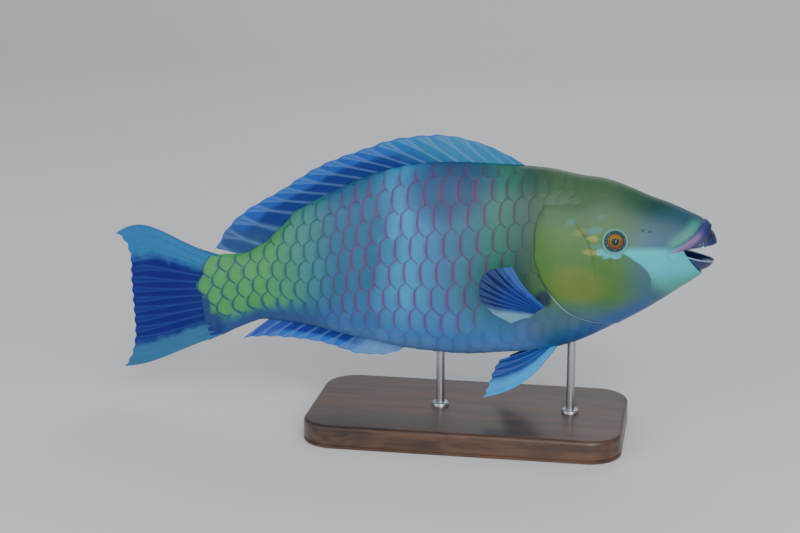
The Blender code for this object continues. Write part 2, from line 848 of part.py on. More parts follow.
def jaw_prism(name, shift):
    """Block that holds the lower jaw, its sloping rear face moved rearward by a shift."""
    half = 0.05
    line = []
    points = np.array(JAW_CUT)
    along = np.gradient(points, axis=0)
    along /= np.linalg.norm(along, axis=1)[:, None]
    for (x, z), (dx, dz) in zip(points, along):
        line.append((x + shift * dz, z - shift * dx))
    line[0] = (line[0][0], JAW_CUT[0][1] + shift)
    line += [(line[-1][0], JAW_FLOOR_Z), (JAW_REACH_X, JAW_FLOOR_Z), (JAW_REACH_X, JAW_CUT[0][1] + shift)]
    count = len(line)
    corners = [(x, -half, z) for x, z in line] + [(x, half, z) for x, z in line]
    faces = [tuple(range(count)), tuple(range(count, 2 * count))]
    faces += [(k, (k + 1) % count, count + (k + 1) % count, count + k) for k in range(count)]
    return add_object(name, corners, faces)


# Gill covers and eyes


def gill_plate(name, side, grow, finish=None, rows=9, columns=8):
    """Make a gill cover, or with a growth the room it lies in.

    Args:
        name: the object's name.
        side: 1 for the left, -1 for the right.
        grow: 0 for the plate, else how much wider its room is.
        finish: material, if any.
        rows, columns: number of points each way.

    Returns:
        The closed object.
    """
    front = side_cut(GILL_FRONT)
    rear = faceted_cut(side_cut(GILL_CUT), *GILL_CUT_RANGE)
    outer = []
    inner = []
    for i in range(rows):
        z = GILL_FOOT_Z - grow + (GILL_TOP_Z - GILL_FOOT_Z + 2.0 * grow) * i / (rows - 1)
        start = front(z) + grow
        end = rear(z) - (POCKET_MARGIN if grow else 0.0)
        height = min(max((z - GILL_FOOT_Z) / (GILL_TOP_Z - GILL_FOOT_Z), 0.0), 1.0)
        fullness = GILL_END_LIFT + (1.0 - GILL_END_LIFT) * math.sqrt(math.sin(math.pi * height))
        for j in range(columns):
            share = j / (columns - 1)
            x = start + (end - start) * share
            point, _ = flank(x, z, side)
            run = min(1.0, (start - x) / (start - rear(z)))
            lift = POCKET_MARGIN if grow else GILL_LIFT * ease(run * GILL_LIFT_RATE) * fullness
            outer.append(point + np.array([0.0, side * lift, 0.0]))
            inner.append(point - np.array([0.0, side * (GILL_DEPTH + grow), 0.0]))
    return add_object(name, outer + inner, sheet_faces(rows, columns), finish)


def eye_centre(side):
    """Centre of an eyeball and the direction it looks."""
    point, normal = flank(EYE_X, EYE_Z, side)
    return point - EYE_SINK * normal, normal


def eye_ring(side, around=24, section=6):
    """Make the raised skin ring round an eye."""
    point, normal = flank(EYE_X, EYE_Z, side)
    across = np.cross(normal, (0.0, 0.0, 1.0))
    across /= np.linalg.norm(across)
    upward = np.cross(across, normal)
    points = []
    for i in range(around):
        turn = 2.0 * math.pi * i / around
        arm = math.cos(turn) * across + math.sin(turn) * upward
        for j in range(section):
            tilt = 2.0 * math.pi * j / section
            out = EYE_RIM_RADIUS + EYE_RIM_BREADTH * EYE_RIM_THICKNESS * math.cos(tilt)
            points.append(point + arm * out + normal * EYE_RIM_THICKNESS * math.sin(tilt))
    faces = []
    for i in range(around):
        for j in range(section):
            k, m = (i + 1) % around, (j + 1) % section
            faces.append((i * section + j, k * section + j, k * section + m, i * section + m))
    return add_object("eye_ring", points, faces)


def nostril_cutter(x, z, side):
    """Make the ball that pits one nostril."""
    point, normal = flank(x, z, side)
    return ball("nostril_cutter", point - NOSTRIL_SINK * normal, NOSTRIL_RADIUS, NOSTRIL_MESH)


# Stand


def base_outline(inset, per_corner=6):
    """Rounded rectangle of the base, drawn in by an inset."""
    corners = []
    radius = BASE_CORNER - inset
    for k, (sx, sy) in enumerate(((1, 1), (-1, 1), (-1, -1), (1, -1))):
        centre_x = sx * (0.5 * BASE_LENGTH - BASE_CORNER)
        centre_y = sy * (0.5 * BASE_WIDTH - BASE_CORNER)
        for i in range(per_corner + 1):
            turn = 0.5 * math.pi * (k + i / per_corner)
            corners.append((centre_x + radius * math.cos(turn), centre_y + radius * math.sin(turn)))
    return corners


def stand_base(finish):
    """Make the flat base with a chamfered top and a blind hole for each rod."""
    levels = ((0.0, 0.0), (BASE_HEIGHT - BASE_CHAMFER, 0.0), (BASE_HEIGHT, BASE_CHAMFER))
    rings = [[(x, y, z) for x, y in base_outline(inset)] for z, inset in levels]
    around = len(rings[0])
    points = [p for ring in rings for p in ring]
    faces = [tuple(range(around)), tuple(range(2 * around, 3 * around))]
    for i in range(2):
        for j in range(around):
            k = (j + 1) % around
            faces.append((i * around + j, i * around + k, (i + 1) * around + k, (i + 1) * around + j))
    base = add_object("stand_base", points, faces, finish)
    holes = []
    for x in (ROD_FRONT_X, ROD_REAR_X):
        low = BASE_HEIGHT - ROD_FOOT_DEPTH - GAP
        high = BASE_HEIGHT + HOLE_OVERRUN
        holes.append(rod("hole", x, low, high, ROD_RADIUS + ROD_CLEARANCE, ROD_SIDES))
    combine(base, holes, "DIFFERENCE")
    return base


def rod_head(x):
    """Height of a rod's upper end, inside the belly."""
    return plan(x)[1] + ROD_HEAD_DEPTH


# Assembly


def ending(cut, limits):
    """Return a function from an angle to the station where the flesh meets a cut."""
    return lambda angle: station_at_cut(cut, angle, *limits)


def at_rim(angle):
    """The front end of the flesh: the rim of the mouth."""
    return RIM_X


HEAD = (ending(side_cut(GILL_CUT), GILL_CUT_RANGE), at_rim, HEAD_ROWS, 1.45)
TORSO = (ending(side_cut(STALK_CUT), STALK_CUT_RANGE), ending(shifted_cut(GILL_CUT, GAP), GILL_CUT_RANGE),
         TORSO_ROWS, 1.0)
STALK = (ending(side_cut(TAIL_CUT), TAIL_CUT_RANGE), ending(shifted_cut(STALK_CUT, GAP), STALK_CUT_RANGE),
         STALK_ROWS, 1.0)
STALK_AND_GAP = (ending(shifted_cut(TAIL_CUT, GAP), TAIL_CUT_RANGE),) + STALK[1:]


def build_flesh(skin_green, skin_pale, skin_blue, skin_yellow):
    """Make head, lower jaw, torso and tail stalk, with their sockets, pockets and holes."""
    head = tube("head", flesh_rings(HEAD), skin_green)
    combine(head, [eye_ring(side) for side in (-1, 1)], "UNION")
    cutters = [mouth_cutter()]
    for side in (-1, 1):
        centre, _ = eye_centre(side)
        cutters.append(ball("socket", centre, EYE_RADIUS + SOCKET_GAP, SOCKET_MESH))
        cutters.append(gill_plate("pocket", side, GAP))
        cutters += [nostril_cutter(x, z, side) for x, z in NOSTRILS]
    combine(head, cutters, "DIFFERENCE")

    jaw = bpy.data.objects.new("lower_jaw", head.data.copy())
    bpy.context.scene.collection.objects.link(jaw)
    jaw.data.materials.clear()
    jaw.data.materials.append(skin_pale)
    combine(jaw, [jaw_prism("jaw_block", 0.0)], "INTERSECT")
    combine(head, [jaw_prism("jaw_room", GAP)], "DIFFERENCE")

    torso = tube("torso", flesh_rings(TORSO), skin_blue)
    holes = []
    for x in (ROD_FRONT_X, ROD_REAR_X):
        holes.append(rod("hole", x, 0.0, rod_head(x) + GAP, ROD_RADIUS + ROD_CLEARANCE, ROD_SIDES))
    combine(torso, holes, "DIFFERENCE")
    tube("tail_stalk", flesh_rings(STALK), skin_yellow)


def flesh_shell():
    """The whole flesh swollen by the gap, facet for facet, which trims the root of every fin."""
    rings = flesh_rings(STALK_AND_GAP, GAP) + flesh_rings(TORSO, GAP) + flesh_rings(HEAD, GAP)
    return tube("shell", rings)


def main():
    """Clear the scene and build every piece."""
    for old in list(bpy.data.objects):
        bpy.data.objects.remove(old)
    green = material("skin green", (0.20, 0.33, 0.13), 0.45)
    pale = material("skin pale turquoise", (0.24, 0.60, 0.55), 0.45)
    blue = material("skin blue", (0.14, 0.34, 0.52), 0.45)
    yellow = material("skin yellow green", (0.36, 0.56, 0.10), 0.45)
    cover = material("gill cover gold", (0.42, 0.45, 0.07), 0.42)
    fin_blue = material("fin blue", (0.03, 0.08, 0.52), 0.4)
    fin_pale = material("fin pale blue", (0.15, 0.38, 0.70), 0.4)
    beak = material("beak", (0.02, 0.06, 0.16), 0.25)
    eye = material("eye orange", (0.55, 0.20, 0.03), 0.1)
    wood = material("dark wood", (0.05, 0.03, 0.02), 0.5)
    steel = material("brushed steel", (0.6, 0.6, 0.6), 0.35, 1.0)

    build_flesh(green, pale, blue, yellow)
    for side, name in ((-1, "right"), (1, "left")):
        gill_plate("gill_cover_" + name, side, 0.0, cover)
        centre, _ = eye_centre(side)
        ball("eye_" + name, centre, EYE_RADIUS, EYE_MESH, eye)
    beak_plate("upper_beak", True, beak)
    beak_plate("lower_beak", False, beak)
    for fin in FINS:
        finish = fin_pale if fin.name.startswith("pelvic") else fin_blue
        made = fin_object(fin, finish)
        combine(made, [flesh_shell()], "DIFFERENCE")
    stand_base(wood)
    for name, x in (("stand_rod_front", ROD_FRONT_X), ("stand_rod_rear", ROD_REAR_X)):
        rod(name, x, BASE_HEIGHT - ROD_FOOT_DEPTH, rod_head(x), ROD_RADIUS, ROD_SIDES, steel)


main()
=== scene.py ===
"""Looks of a life-size parrotfish held over a flat base by two short rods.

Metres, +Z up, +X toward the snout, +Y the fish's left. One skin replaces the solids of flesh, a coat
of overlapping scales lies on it, and the fins, beak, eyes and stand take the place of their solids.
"""

import logging
import math
from dataclasses import dataclass, field
from enum import Enum
from typing import Callable, Sequence

import bpy
import numpy as np
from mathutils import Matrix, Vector


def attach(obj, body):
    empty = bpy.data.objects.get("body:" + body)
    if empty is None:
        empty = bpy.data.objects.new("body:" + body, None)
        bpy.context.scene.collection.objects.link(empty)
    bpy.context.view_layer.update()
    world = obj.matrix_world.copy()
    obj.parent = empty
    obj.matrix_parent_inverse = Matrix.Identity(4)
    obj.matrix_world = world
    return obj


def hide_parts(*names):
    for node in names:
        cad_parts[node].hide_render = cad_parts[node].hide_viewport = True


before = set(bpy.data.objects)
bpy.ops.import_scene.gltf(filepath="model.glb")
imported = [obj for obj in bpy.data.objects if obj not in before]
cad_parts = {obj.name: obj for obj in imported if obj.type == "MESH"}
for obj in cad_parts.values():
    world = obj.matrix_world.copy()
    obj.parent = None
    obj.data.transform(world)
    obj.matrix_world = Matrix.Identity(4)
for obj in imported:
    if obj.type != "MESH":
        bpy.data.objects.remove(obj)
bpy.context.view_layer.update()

Array = np.ndarray
Colour = tuple[float, float, float, float]
Pair = tuple[float, float]
Triple = tuple[float, float, float]
Pairs = tuple[Pair, ...]
Triples = tuple[Triple, ...]
Seat = tuple[float, float, float, float, int, int]
MM = 0.001
FAR_AWAY = 0.05
COVER_START = 0.030
COVER_BLEND = 0.024
NAPE_START = 0.1400
NAPE_BLEND = 0.010
LOG = logging.getLogger("parrotfish")


# Small numeric helpers


def ease(t: Array | float) -> Array | float:
    """Rise smoothly from 0 to 1 while t does."""
    t = np.clip(t, 0.0, 1.0)
    return t * t * (3.0 - 2.0 * t)


def bell(distance: Array | float, width: float) -> Array | float:
    """Fall smoothly from 1 at no distance toward 0 past the width."""
    return np.exp(-((distance / width) ** 2))


def unit(vectors: Array) -> Array:
    """Scale vectors to length one."""
    return vectors / np.maximum(np.linalg.norm(vectors, axis=-1, keepdims=True), 1e-12)


def tint(red: int, green: int, blue: int) -> Colour:
    """Turn a screen colour of 0 to 255 into the linear colour that a shader takes."""
    linear = []
    for value in (red, green, blue):
        share = value / 255.0
        linear.append(share / 12.92 if share <= 0.04045 else ((share + 0.055) / 1.055) ** 2.4)
    return (linear[0], linear[1], linear[2], 1.0)


class SmoothCurve:
    """A monotone cubic through points, which never overshoots them."""

    def __init__(self, places: Sequence[float], values: Sequence) -> None:
        """Fit the curve.

        Args:
            places: places in rising order.
            values: a value, or a row of values, for each place.
        """
        self.places = np.asarray(places, dtype=float)
        self.values = np.asarray(values, dtype=float)
        self.flat = self.values.ndim == 1
        if self.flat:
            self.values = self.values[:, None]
        step = np.diff(self.places)[:, None]
        slope = np.diff(self.values, axis=0) / step
        self.tangents = np.zeros_like(self.values)
        self.tangents[0] = slope[0]
        self.tangents[-1] = slope[-1]
        for i in range(1, len(self.places) - 1):
            before, after = slope[i - 1], slope[i]
            weight_before = 2.0 * step[i] + step[i - 1]
            weight_after = step[i] + 2.0 * step[i - 1]
            same_way = before * after > 0.0
            safe_before = np.where(same_way, before, 1.0)
            safe_after = np.where(same_way, after, 1.0)
            mean = (weight_before + weight_after) / (weight_before / safe_before + weight_after / safe_after)
            self.tangents[i] = np.where(same_way, mean, 0.0)

    def __call__(self, place: Array | float) -> Array:
        """Read the curve.

        Args:
            place: one place or an array of them.

        Returns:
            The values, with a last axis of columns where the curve has several.
        """
        place = np.clip(np.asarray(place, dtype=float), self.places[0], self.places[-1])
        i = np.clip(np.searchsorted(self.places, place) - 1, 0, len(self.places) - 2)
        width = self.places[i + 1] - self.places[i]
        t = ((place - self.places[i]) / width)[..., None]
        width = width[..., None]
        fade = (1.0 - t) ** 2
        start = (1.0 + 2.0 * t) * fade * self.values[i] + t * fade * width * self.tangents[i]
        end = t * t * (3.0 - 2.0 * t) * self.values[i + 1] + t * t * (t - 1.0) * width * self.tangents[i + 1]
        return (start + end)[..., 0] if self.flat else start + end


def side_word(side: float) -> str:
    """Name the fish's side: left for 1, right for -1."""
    return "left" if side > 0.0 else "right"


def path(points: Sequence[Sequence[float]]) -> SmoothCurve:
    """Return a smooth line through points, read from 0 at its start to 1 at its end."""
    line = np.asarray(points, dtype=float)
    run = np.concatenate([[0.0], np.cumsum(np.linalg.norm(np.diff(line, axis=0), axis=1))])
    return SmoothCurve(run / run[-1], line)


def side_line(points: Sequence[Pair]) -> SmoothCurve:
    """Return a curve from height to x for a line given as (z, x) points."""
    rising = sorted(points)
    return SmoothCurve([z for z, _ in rising], [x for _, x in rising])


def distance_from_line(x: Array, z: Array, line: Sequence[Pair]) -> Array:
    """Distance of side-view points from a bent line, positive on the line's right-hand side.

    Args:
        x: places along the fish.
        z: heights.
        line: the (x, z) corners of the line, in order.

    Returns:
        The signed distances in metres.
    """
    best = np.full(np.shape(x), np.inf)
    signed = np.zeros(np.shape(x))
    for (ax, az), (bx, bz) in zip(line, line[1:]):
        dx, dz = bx - ax, bz - az
        share = np.clip(((x - ax) * dx + (z - az) * dz) / (dx * dx + dz * dz), 0.0, 1.0)
        away = np.hypot(x - ax - share * dx, z - az - share * dz)
        side = (z - az) * dx - (x - ax) * dz
        closer = away < best - 1e-7
        best = np.where(closer, away, best)
        signed = np.where(closer, -np.sign(side) * away, signed)
    return signed


# The fish's form


@dataclass
class BodyForm:
    """The flesh as one smooth surface over a station along the body and an angle round it.

    The angle is 0 at the back, a quarter turn at the left side and a half turn at the belly.
    """

    stations: tuple[tuple[float, float, float, float, float], ...] = (
        (-0.1700, 0.1058, 0.0415, 0.0032, 0.0740),
        (-0.1550, 0.1022, 0.0488, 0.0052, 0.0755),
        (-0.1400, 0.1037, 0.0566, 0.0075, 0.0800),
        (-0.1250, 0.1125, 0.0620, 0.0096, 0.0865),
        (-0.1050, 0.1325, 0.0610, 0.0124, 0.0945),
        (-0.0800, 0.1472, 0.0568, 0.0160, 0.1015),
        (-0.0550, 0.1585, 0.0525, 0.0194, 0.1042),
        (-0.0300, 0.1642, 0.0490, 0.0222, 0.1050),
        (-0.0050, 0.1658, 0.0480, 0.0241, 0.1055),
        (0.0200, 0.1654, 0.0501, 0.0252, 0.1065),
        (0.0450, 0.1642, 0.0530, 0.0252, 0.1085),
        (0.0640, 0.1612, 0.0588, 0.0243, 0.1110),
        (0.0820, 0.1580, 0.0678, 0.0223, 0.1135),
        (0.0930, 0.1543, 0.0745, 0.0207, 0.1150),
        (0.1050, 0.1495, 0.0818, 0.0189, 0.1165),
        (0.1170, 0.1455, 0.0898, 0.0167, 0.1180),
        (0.1280, 0.1410, 0.0968, 0.0144, 0.1190),
        (0.1370, 0.1368, 0.1020, 0.0124, 0.1196),
        (0.1415, 0.1325, 0.1048, 0.0112, 0.1200),
    )
    back_roundness: float = 1.12
    belly_roundness: float = 0.86
    bend_start: float = -0.080
    bend_rate: float = 0.82
    rim: float = 0.1415
    rim_corner: float = 0.1260
    rim_chin: float = 0.1370
    corner_sharpness: float = 0.36
    rim_upper_power: float = 1.65
    rim_lower_power: float = 1.2
    snout_start: float = 0.1050
    gill_line: Pairs = (
        (0.175, 0.0600), (0.160, 0.0520), (0.145, 0.0448), (0.130, 0.0412), (0.117, 0.0412),
        (0.106, 0.0442), (0.097, 0.0492), (0.089, 0.0552), (0.082, 0.0625), (0.077, 0.0735),
        (0.0735, 0.0880), (0.071, 0.1000),
    )
    tail_line: Pairs = (
        (0.112, -0.1560), (0.095, -0.1605), (0.074, -0.1640), (0.054, -0.1605), (0.036, -0.1560),
    )
    table_stations: int = 240
    table_turns: int = 241
    plan: SmoothCurve = field(init=False)
    gill: SmoothCurve = field(init=False)
    tail: SmoothCurve = field(init=False)

    def __post_init__(self) -> None:
        """Fit the curves and lay out the table of arc lengths."""
        self.plan = SmoothCurve([s[0] for s in self.stations], [s[1:] for s in self.stations])
        self.gill = side_line(self.gill_line)
        self.tail = side_line(self.tail_line)
        self.table_x = np.linspace(-0.1800, self.rim, self.table_stations)
        turns = np.linspace(math.pi, 0.0, self.table_turns)
        ring = self.point(self.table_x[:, None], turns[None, :])
        ring[..., 0] = 0.0
        run = np.cumsum(np.linalg.norm(np.diff(ring, axis=1), axis=2), axis=1)
        run = np.concatenate([np.zeros((len(self.table_x), 1)), run], axis=1)
        self.half_round = run[:, -1]
        shares = np.linspace(0.0, 1.0, self.table_turns)
        self.turn_table = np.array([np.interp(shares, r / r[-1], turns) for r in run])

    def bend(self, x: Array) -> Array:
        """Sideways place of the middle plane: the tail swings toward the fish's left."""
        return self.bend_rate * np.maximum(0.0, self.bend_start - np.asarray(x)) ** 2

    def rim_at(self, rise: Array) -> Array:
        """Side view of the mouth's rim, from a rise of 1 at the upper lip to -1 at the chin."""
        lower = self.rim_corner + (self.rim_chin - self.rim_corner) * np.abs(rise) ** self.rim_lower_power
        upward = np.maximum(rise, 0.0) / self.corner_sharpness
        fall = 1.0 / (1.0 + upward ** self.rim_upper_power)
        least = 1.0 / (1.0 + (1.0 / self.corner_sharpness) ** self.rim_upper_power)
        upper = self.rim - (self.rim - self.rim_corner) * (fall - least) / (1.0 - least)
        return np.where(rise < 0.0, lower, upper)

    def point(self, x: Array, angle: Array) -> Array:
        """Points of the flesh at stations and angles."""
        x, angle = np.broadcast_arrays(np.asarray(x, dtype=float), np.asarray(angle, dtype=float))
        top, bottom, half_width, widest = np.moveaxis(self.plan(x), -1, 0)
        rise, side = np.cos(angle), np.sin(angle)
        above = rise >= 0.0
        roundness = np.where(above, self.back_roundness, self.belly_roundness)
        reach = np.where(above, top - widest, widest - bottom)
        snout = np.maximum(0.0, (x - self.snout_start) / (self.rim - self.snout_start)) ** 2
        y = half_width * np.sign(side) * np.abs(side) ** roundness + self.bend(x)
        return np.stack([x - snout * (self.rim - self.rim_at(rise)), y, widest + reach * rise], axis=-1)

    def normal(self, x: Array, angle: Array) -> Array:
        """Outward directions of the flesh."""
        step, turn = 1e-4, 3.3e-3
        along = self.point(np.asarray(x) + step, angle) - self.point(np.asarray(x) - step, angle)
        around = self.point(x, np.asarray(angle) + turn) - self.point(x, np.asarray(angle) - turn)
        return unit(np.cross(along, around))

    def raised(self, x: Array, angle: Array, height: Array | float) -> Array:
        """Points a height outward from the flesh."""
        return self.point(x, angle) + np.asarray(height)[..., None] * self.normal(x, angle)

    def girth(self, x: Array) -> Array:
        """Length of the skin from the belly's middle up one side to the back's middle."""
        return np.interp(x, self.table_x, self.half_round)

    def angle_at_arc(self, x: Array, arc: Array) -> Array:
        """Angle on the left side at a length of skin up from the belly's middle.

        Args:
            x: stations.
            arc: lengths, below 0 or beyond the back to pass onto the other side.

        Returns:
            The angles.
        """
        share = np.asarray(arc) / self.girth(x)
        folded = np.where(share < 0.0, -share, np.where(share > 1.0, 2.0 - share, share))
        step = self.table_x[1] - self.table_x[0]
        row = np.clip((x - self.table_x[0]) / step, 0.0, self.table_stations - 1.001)
        column = np.clip(folded, 0.0, 1.0) * (self.table_turns - 1)
        i, j = row.astype(int), np.minimum(column.astype(int), self.table_turns - 2)
        a, b = row - i, column - j
        low = self.turn_table[i, j] * (1.0 - b) + self.turn_table[i, j + 1] * b
        high = self.turn_table[i + 1, j] * (1.0 - b) + self.turn_table[i + 1, j + 1] * b
        angle = low * (1.0 - a) + high * a
        return np.where(share < 0.0, 2.0 * math.pi - angle, np.where(share > 1.0, -angle, angle))

    def angle_at_height(self, x: Array, z: Array) -> Array:
        """Angle on the left side where the flesh at a station has this height."""
        top, bottom, _, widest = np.moveaxis(self.plan(x), -1, 0)
        reach = np.where(z >= widest, top - widest, widest - bottom)
        return np.arccos(np.clip((z - widest) / reach, -1.0, 1.0))

    def station_at(self, line: Callable[[Array], Array], angle: Array, low: float, high: float) -> Array:
        """Stations where the flesh crosses a side-view line, by halving the range between two.

        Args:
            line: curve from height to station.
            angle: angles round the body.
            low: station behind the line.
            high: station ahead of it.

        Returns:
            A station for each angle.
        """
        lowest = np.full(np.shape(angle), low)
        highest = np.full(np.shape(angle), high)
        for _ in range(36):
            middle = 0.5 * (lowest + highest)
            ahead = middle > line(self.point(middle, angle)[..., 2])
            highest = np.where(ahead, middle, highest)
            lowest = np.where(ahead, lowest, middle)
        return 0.5 * (lowest + highest)


BODY = BodyForm()


@dataclass(frozen=True)
class EyePlace:
    """Where an eye sits in the head and how it looks out."""

    x: float = 0.0870
    z: float = 0.1262
    radius: float = 0.0080
    sink: float = 0.0057

    def surface(self, side: float) -> tuple[Array, Array]:
        """Point of the head over the eye and the outward direction there."""
        angle = BODY.angle_at_height(np.array(self.x), np.array(self.z)) * side
        return BODY.point(np.array(self.x), angle), BODY.normal(np.array(self.x), angle)

    def away(self, points: Array) -> Array:
        """Distance of points from the axis of the eye on their own side."""
        nearest = np.full(points.shape[:-1], 1.0)
        for side in (-1.0, 1.0):
            centre, axis = self.surface(side)
            offset = points - centre
            radial = offset - (offset @ axis)[..., None] * axis
            away = np.linalg.norm(radial, axis=-1)
            nearest = np.where(points[..., 1] * side > 0.0, np.minimum(nearest, away), nearest)
        return nearest


EYE = EyePlace()


# Meshes


@dataclass
class Part:
    """Points, faces, point values and texture places of one mesh in the making."""

    points: Array
    faces: list[Array]
    values: dict[str, Array] = field(default_factory=dict)
    corners: Array | None = None

    def build(self, name: str, material: bpy.types.Material, sharp: float = 50.0) -> bpy.types.Object:
        """Make the object.

        Args:
            name: its name.
            material: its finish.
            sharp: angle in degrees beyond which an edge stays crisp.

        Returns:
            The object, linked to the scene.
        """
        mesh = bpy.data.meshes.new(name)
        mesh.vertices.add(len(self.points))
        mesh.vertices.foreach_set("co", np.ascontiguousarray(self.points, dtype=np.float32).ravel())
        corners = np.concatenate([f.ravel() for f in self.faces]).astype(np.int32)
        counts = np.concatenate([np.full(len(f), f.shape[1]) for f in self.faces])
        starts = np.concatenate([[0], np.cumsum(counts)[:-1]]).astype(np.int32)
        mesh.loops.add(len(corners))
        mesh.loops.foreach_set("vertex_index", corners)
        mesh.polygons.add(len(counts))
        mesh.polygons.foreach_set("loop_start", starts)
        mesh.update(calc_edges=True)
        for key, value in self.values.items():
            layer = mesh.attributes.new(key, "FLOAT", "POINT")
            layer.data.foreach_set("value", np.ascontiguousarray(value, dtype=np.float32).ravel())
        if self.corners is not None:
            layer = mesh.uv_layers.new(name="OFBake")
            layer.data.foreach_set("uv", np.ascontiguousarray(self.corners, dtype=np.float32).ravel())
        mesh.validate()
        mesh.polygons.foreach_set("use_smooth", np.ones(len(mesh.polygons), dtype=bool))
        mesh.set_sharp_from_angle(angle=math.radians(sharp))
        mesh.materials.append(material)
        made = bpy.data.objects.new(name, mesh)
        bpy.context.scene.collection.objects.link(made)
        return made


def grid_faces(rows: int, columns: int, wrap: bool = False, start: int = 0, flip: bool = False) -> Array:
    """Quads that join a grid of points, row after row.

    Args:
        rows: number of rows.
        columns: points in each row.
        wrap: whether each row closes on itself.
        start: index of the grid's first point.
        flip: whether the faces look the other way.

    Returns:
        An array of four corners a face.
    """
    i, j = np.meshgrid(np.arange(rows - 1), np.arange(columns if wrap else columns - 1), indexing="ij")
    k = (j + 1) % columns
    here, ahead = i * columns, (i + 1) * columns
    quads = np.stack([here + j, here + k, ahead + k, ahead + j], axis=-1).reshape(-1, 4) + start
    return quads[:, ::-1] if flip else quads


def cap_faces(start: int, columns: int, flip: bool) -> Array:
    """Quads that close a flattened ring whose points pair left to right."""
    j = np.arange(columns // 2)
    quads = np.stack([j, (j + 1) % columns, (-j - 1) % columns, (-j) % columns], axis=-1)[1:-1] + start
    return quads[:, ::-1] if flip else quads


def cap_ends(start: int, columns: int, flip: bool) -> Array:
    """The two triangles at the ends of such a ring."""
    half = columns // 2
    ends = np.array([[0, 1, columns - 1], [half - 1, half, half + 1]]) + start
    return ends[:, ::-1] if flip else ends


def tube_faces(rows: int, around: int) -> list[Array]:
    """Faces of a tube made of rings, each of its ends closed by a single face."""
    ring = np.arange(around)
    return [grid_faces(rows, around, wrap=True), ring[None, ::-1], (rows - 1) * around + ring[None]]


def sheet_faces(rows: int, columns: int) -> list[Array]:
    """Faces of a thin closed sheet: its front, its back and the rim that joins them."""
    size = rows * columns
    border = [i * columns for i in range(rows)]
    border += [(rows - 1) * columns + j for j in range(1, columns)]
    border += [i * columns + columns - 1 for i in range(rows - 2, -1, -1)]
    border += list(range(columns - 2, 0, -1))
    ring = np.array(border)
    following = np.roll(ring, -1)
    rim = np.stack([ring, following, size + following, size + ring], axis=-1)
    return [grid_faces(rows, columns), grid_faces(rows, columns, start=size, flip=True), rim]


def rim_strip(count: int, low: float, high: float) -> Array:
    """Texture places of a row of quads that runs along the map between two levels."""
    share = np.arange(count) / count
    step = 1.0 / count
    corners = ((share, low), (share + step, low), (share + step, high), (share, high))
    return np.stack([np.stack([run, np.full_like(run, level)], -1) for run, level in corners], axis=1)


def sheet_part(outer: Array, inner: Array, values: dict[str, Array]) -> Part:
    """Close two like grids of points into one thin solid.

    Args:
        outer: grid of points of the front face, as (rows, columns, 3).
        inner: grid of the back face.
        values: point values over the grid, given to both faces.

    Returns:
        The closed part, its bake map with the front face on the left and the back face on the right.
    """
    rows, columns = outer.shape[:2]
    faces = sheet_faces(rows, columns)
    points = np.concatenate([outer.reshape(-1, 3), inner.reshape(-1, 3)])
    u, v = np.meshgrid(np.linspace(0.01, 0.48, columns), np.linspace(0.01, 0.93, rows))
    front = np.stack([u, v], axis=-1).reshape(-1, 2)
    place = np.concatenate([front, front + np.array([0.5, 0.0])])
    corners = [place[f].reshape(-1, 2) for f in faces[:2]]
    corners.append(rim_strip(len(faces[2]), 0.95, 0.99).reshape(-1, 2))
    both = {key: np.concatenate([value.ravel(), value.ravel()]) for key, value in values.items()}
    return Part(points, faces, both, np.concatenate(corners))


# Shader maths


class Value:
    """A shader number that takes Python's operators."""

    def __init__(self, paint: "Paint", socket: bpy.types.NodeSocket) -> None:
        """Wrap one output socket of a material."""
        self.paint = paint
        self.socket = socket

    def __add__(self, other: "Value | float") -> "Value":
        """Sum."""
        return self.paint.math("ADD", self, other)

    __radd__ = __add__

    def __sub__(self, other: "Value | float") -> "Value":
        """Difference."""
        return self.paint.math("SUBTRACT", self, other)

    def __rsub__(self, other: float) -> "Value":
        """Difference from a plain number."""
        return self.paint.math("SUBTRACT", other, self)

    def __mul__(self, other: "Value | float") -> "Value":
        """Product."""
        return self.paint.math("MULTIPLY", self, other)

    __rmul__ = __mul__

    def __truediv__(self, other: "Value | float") -> "Value":
        """Quotient."""
        return self.paint.math("DIVIDE", self, other)


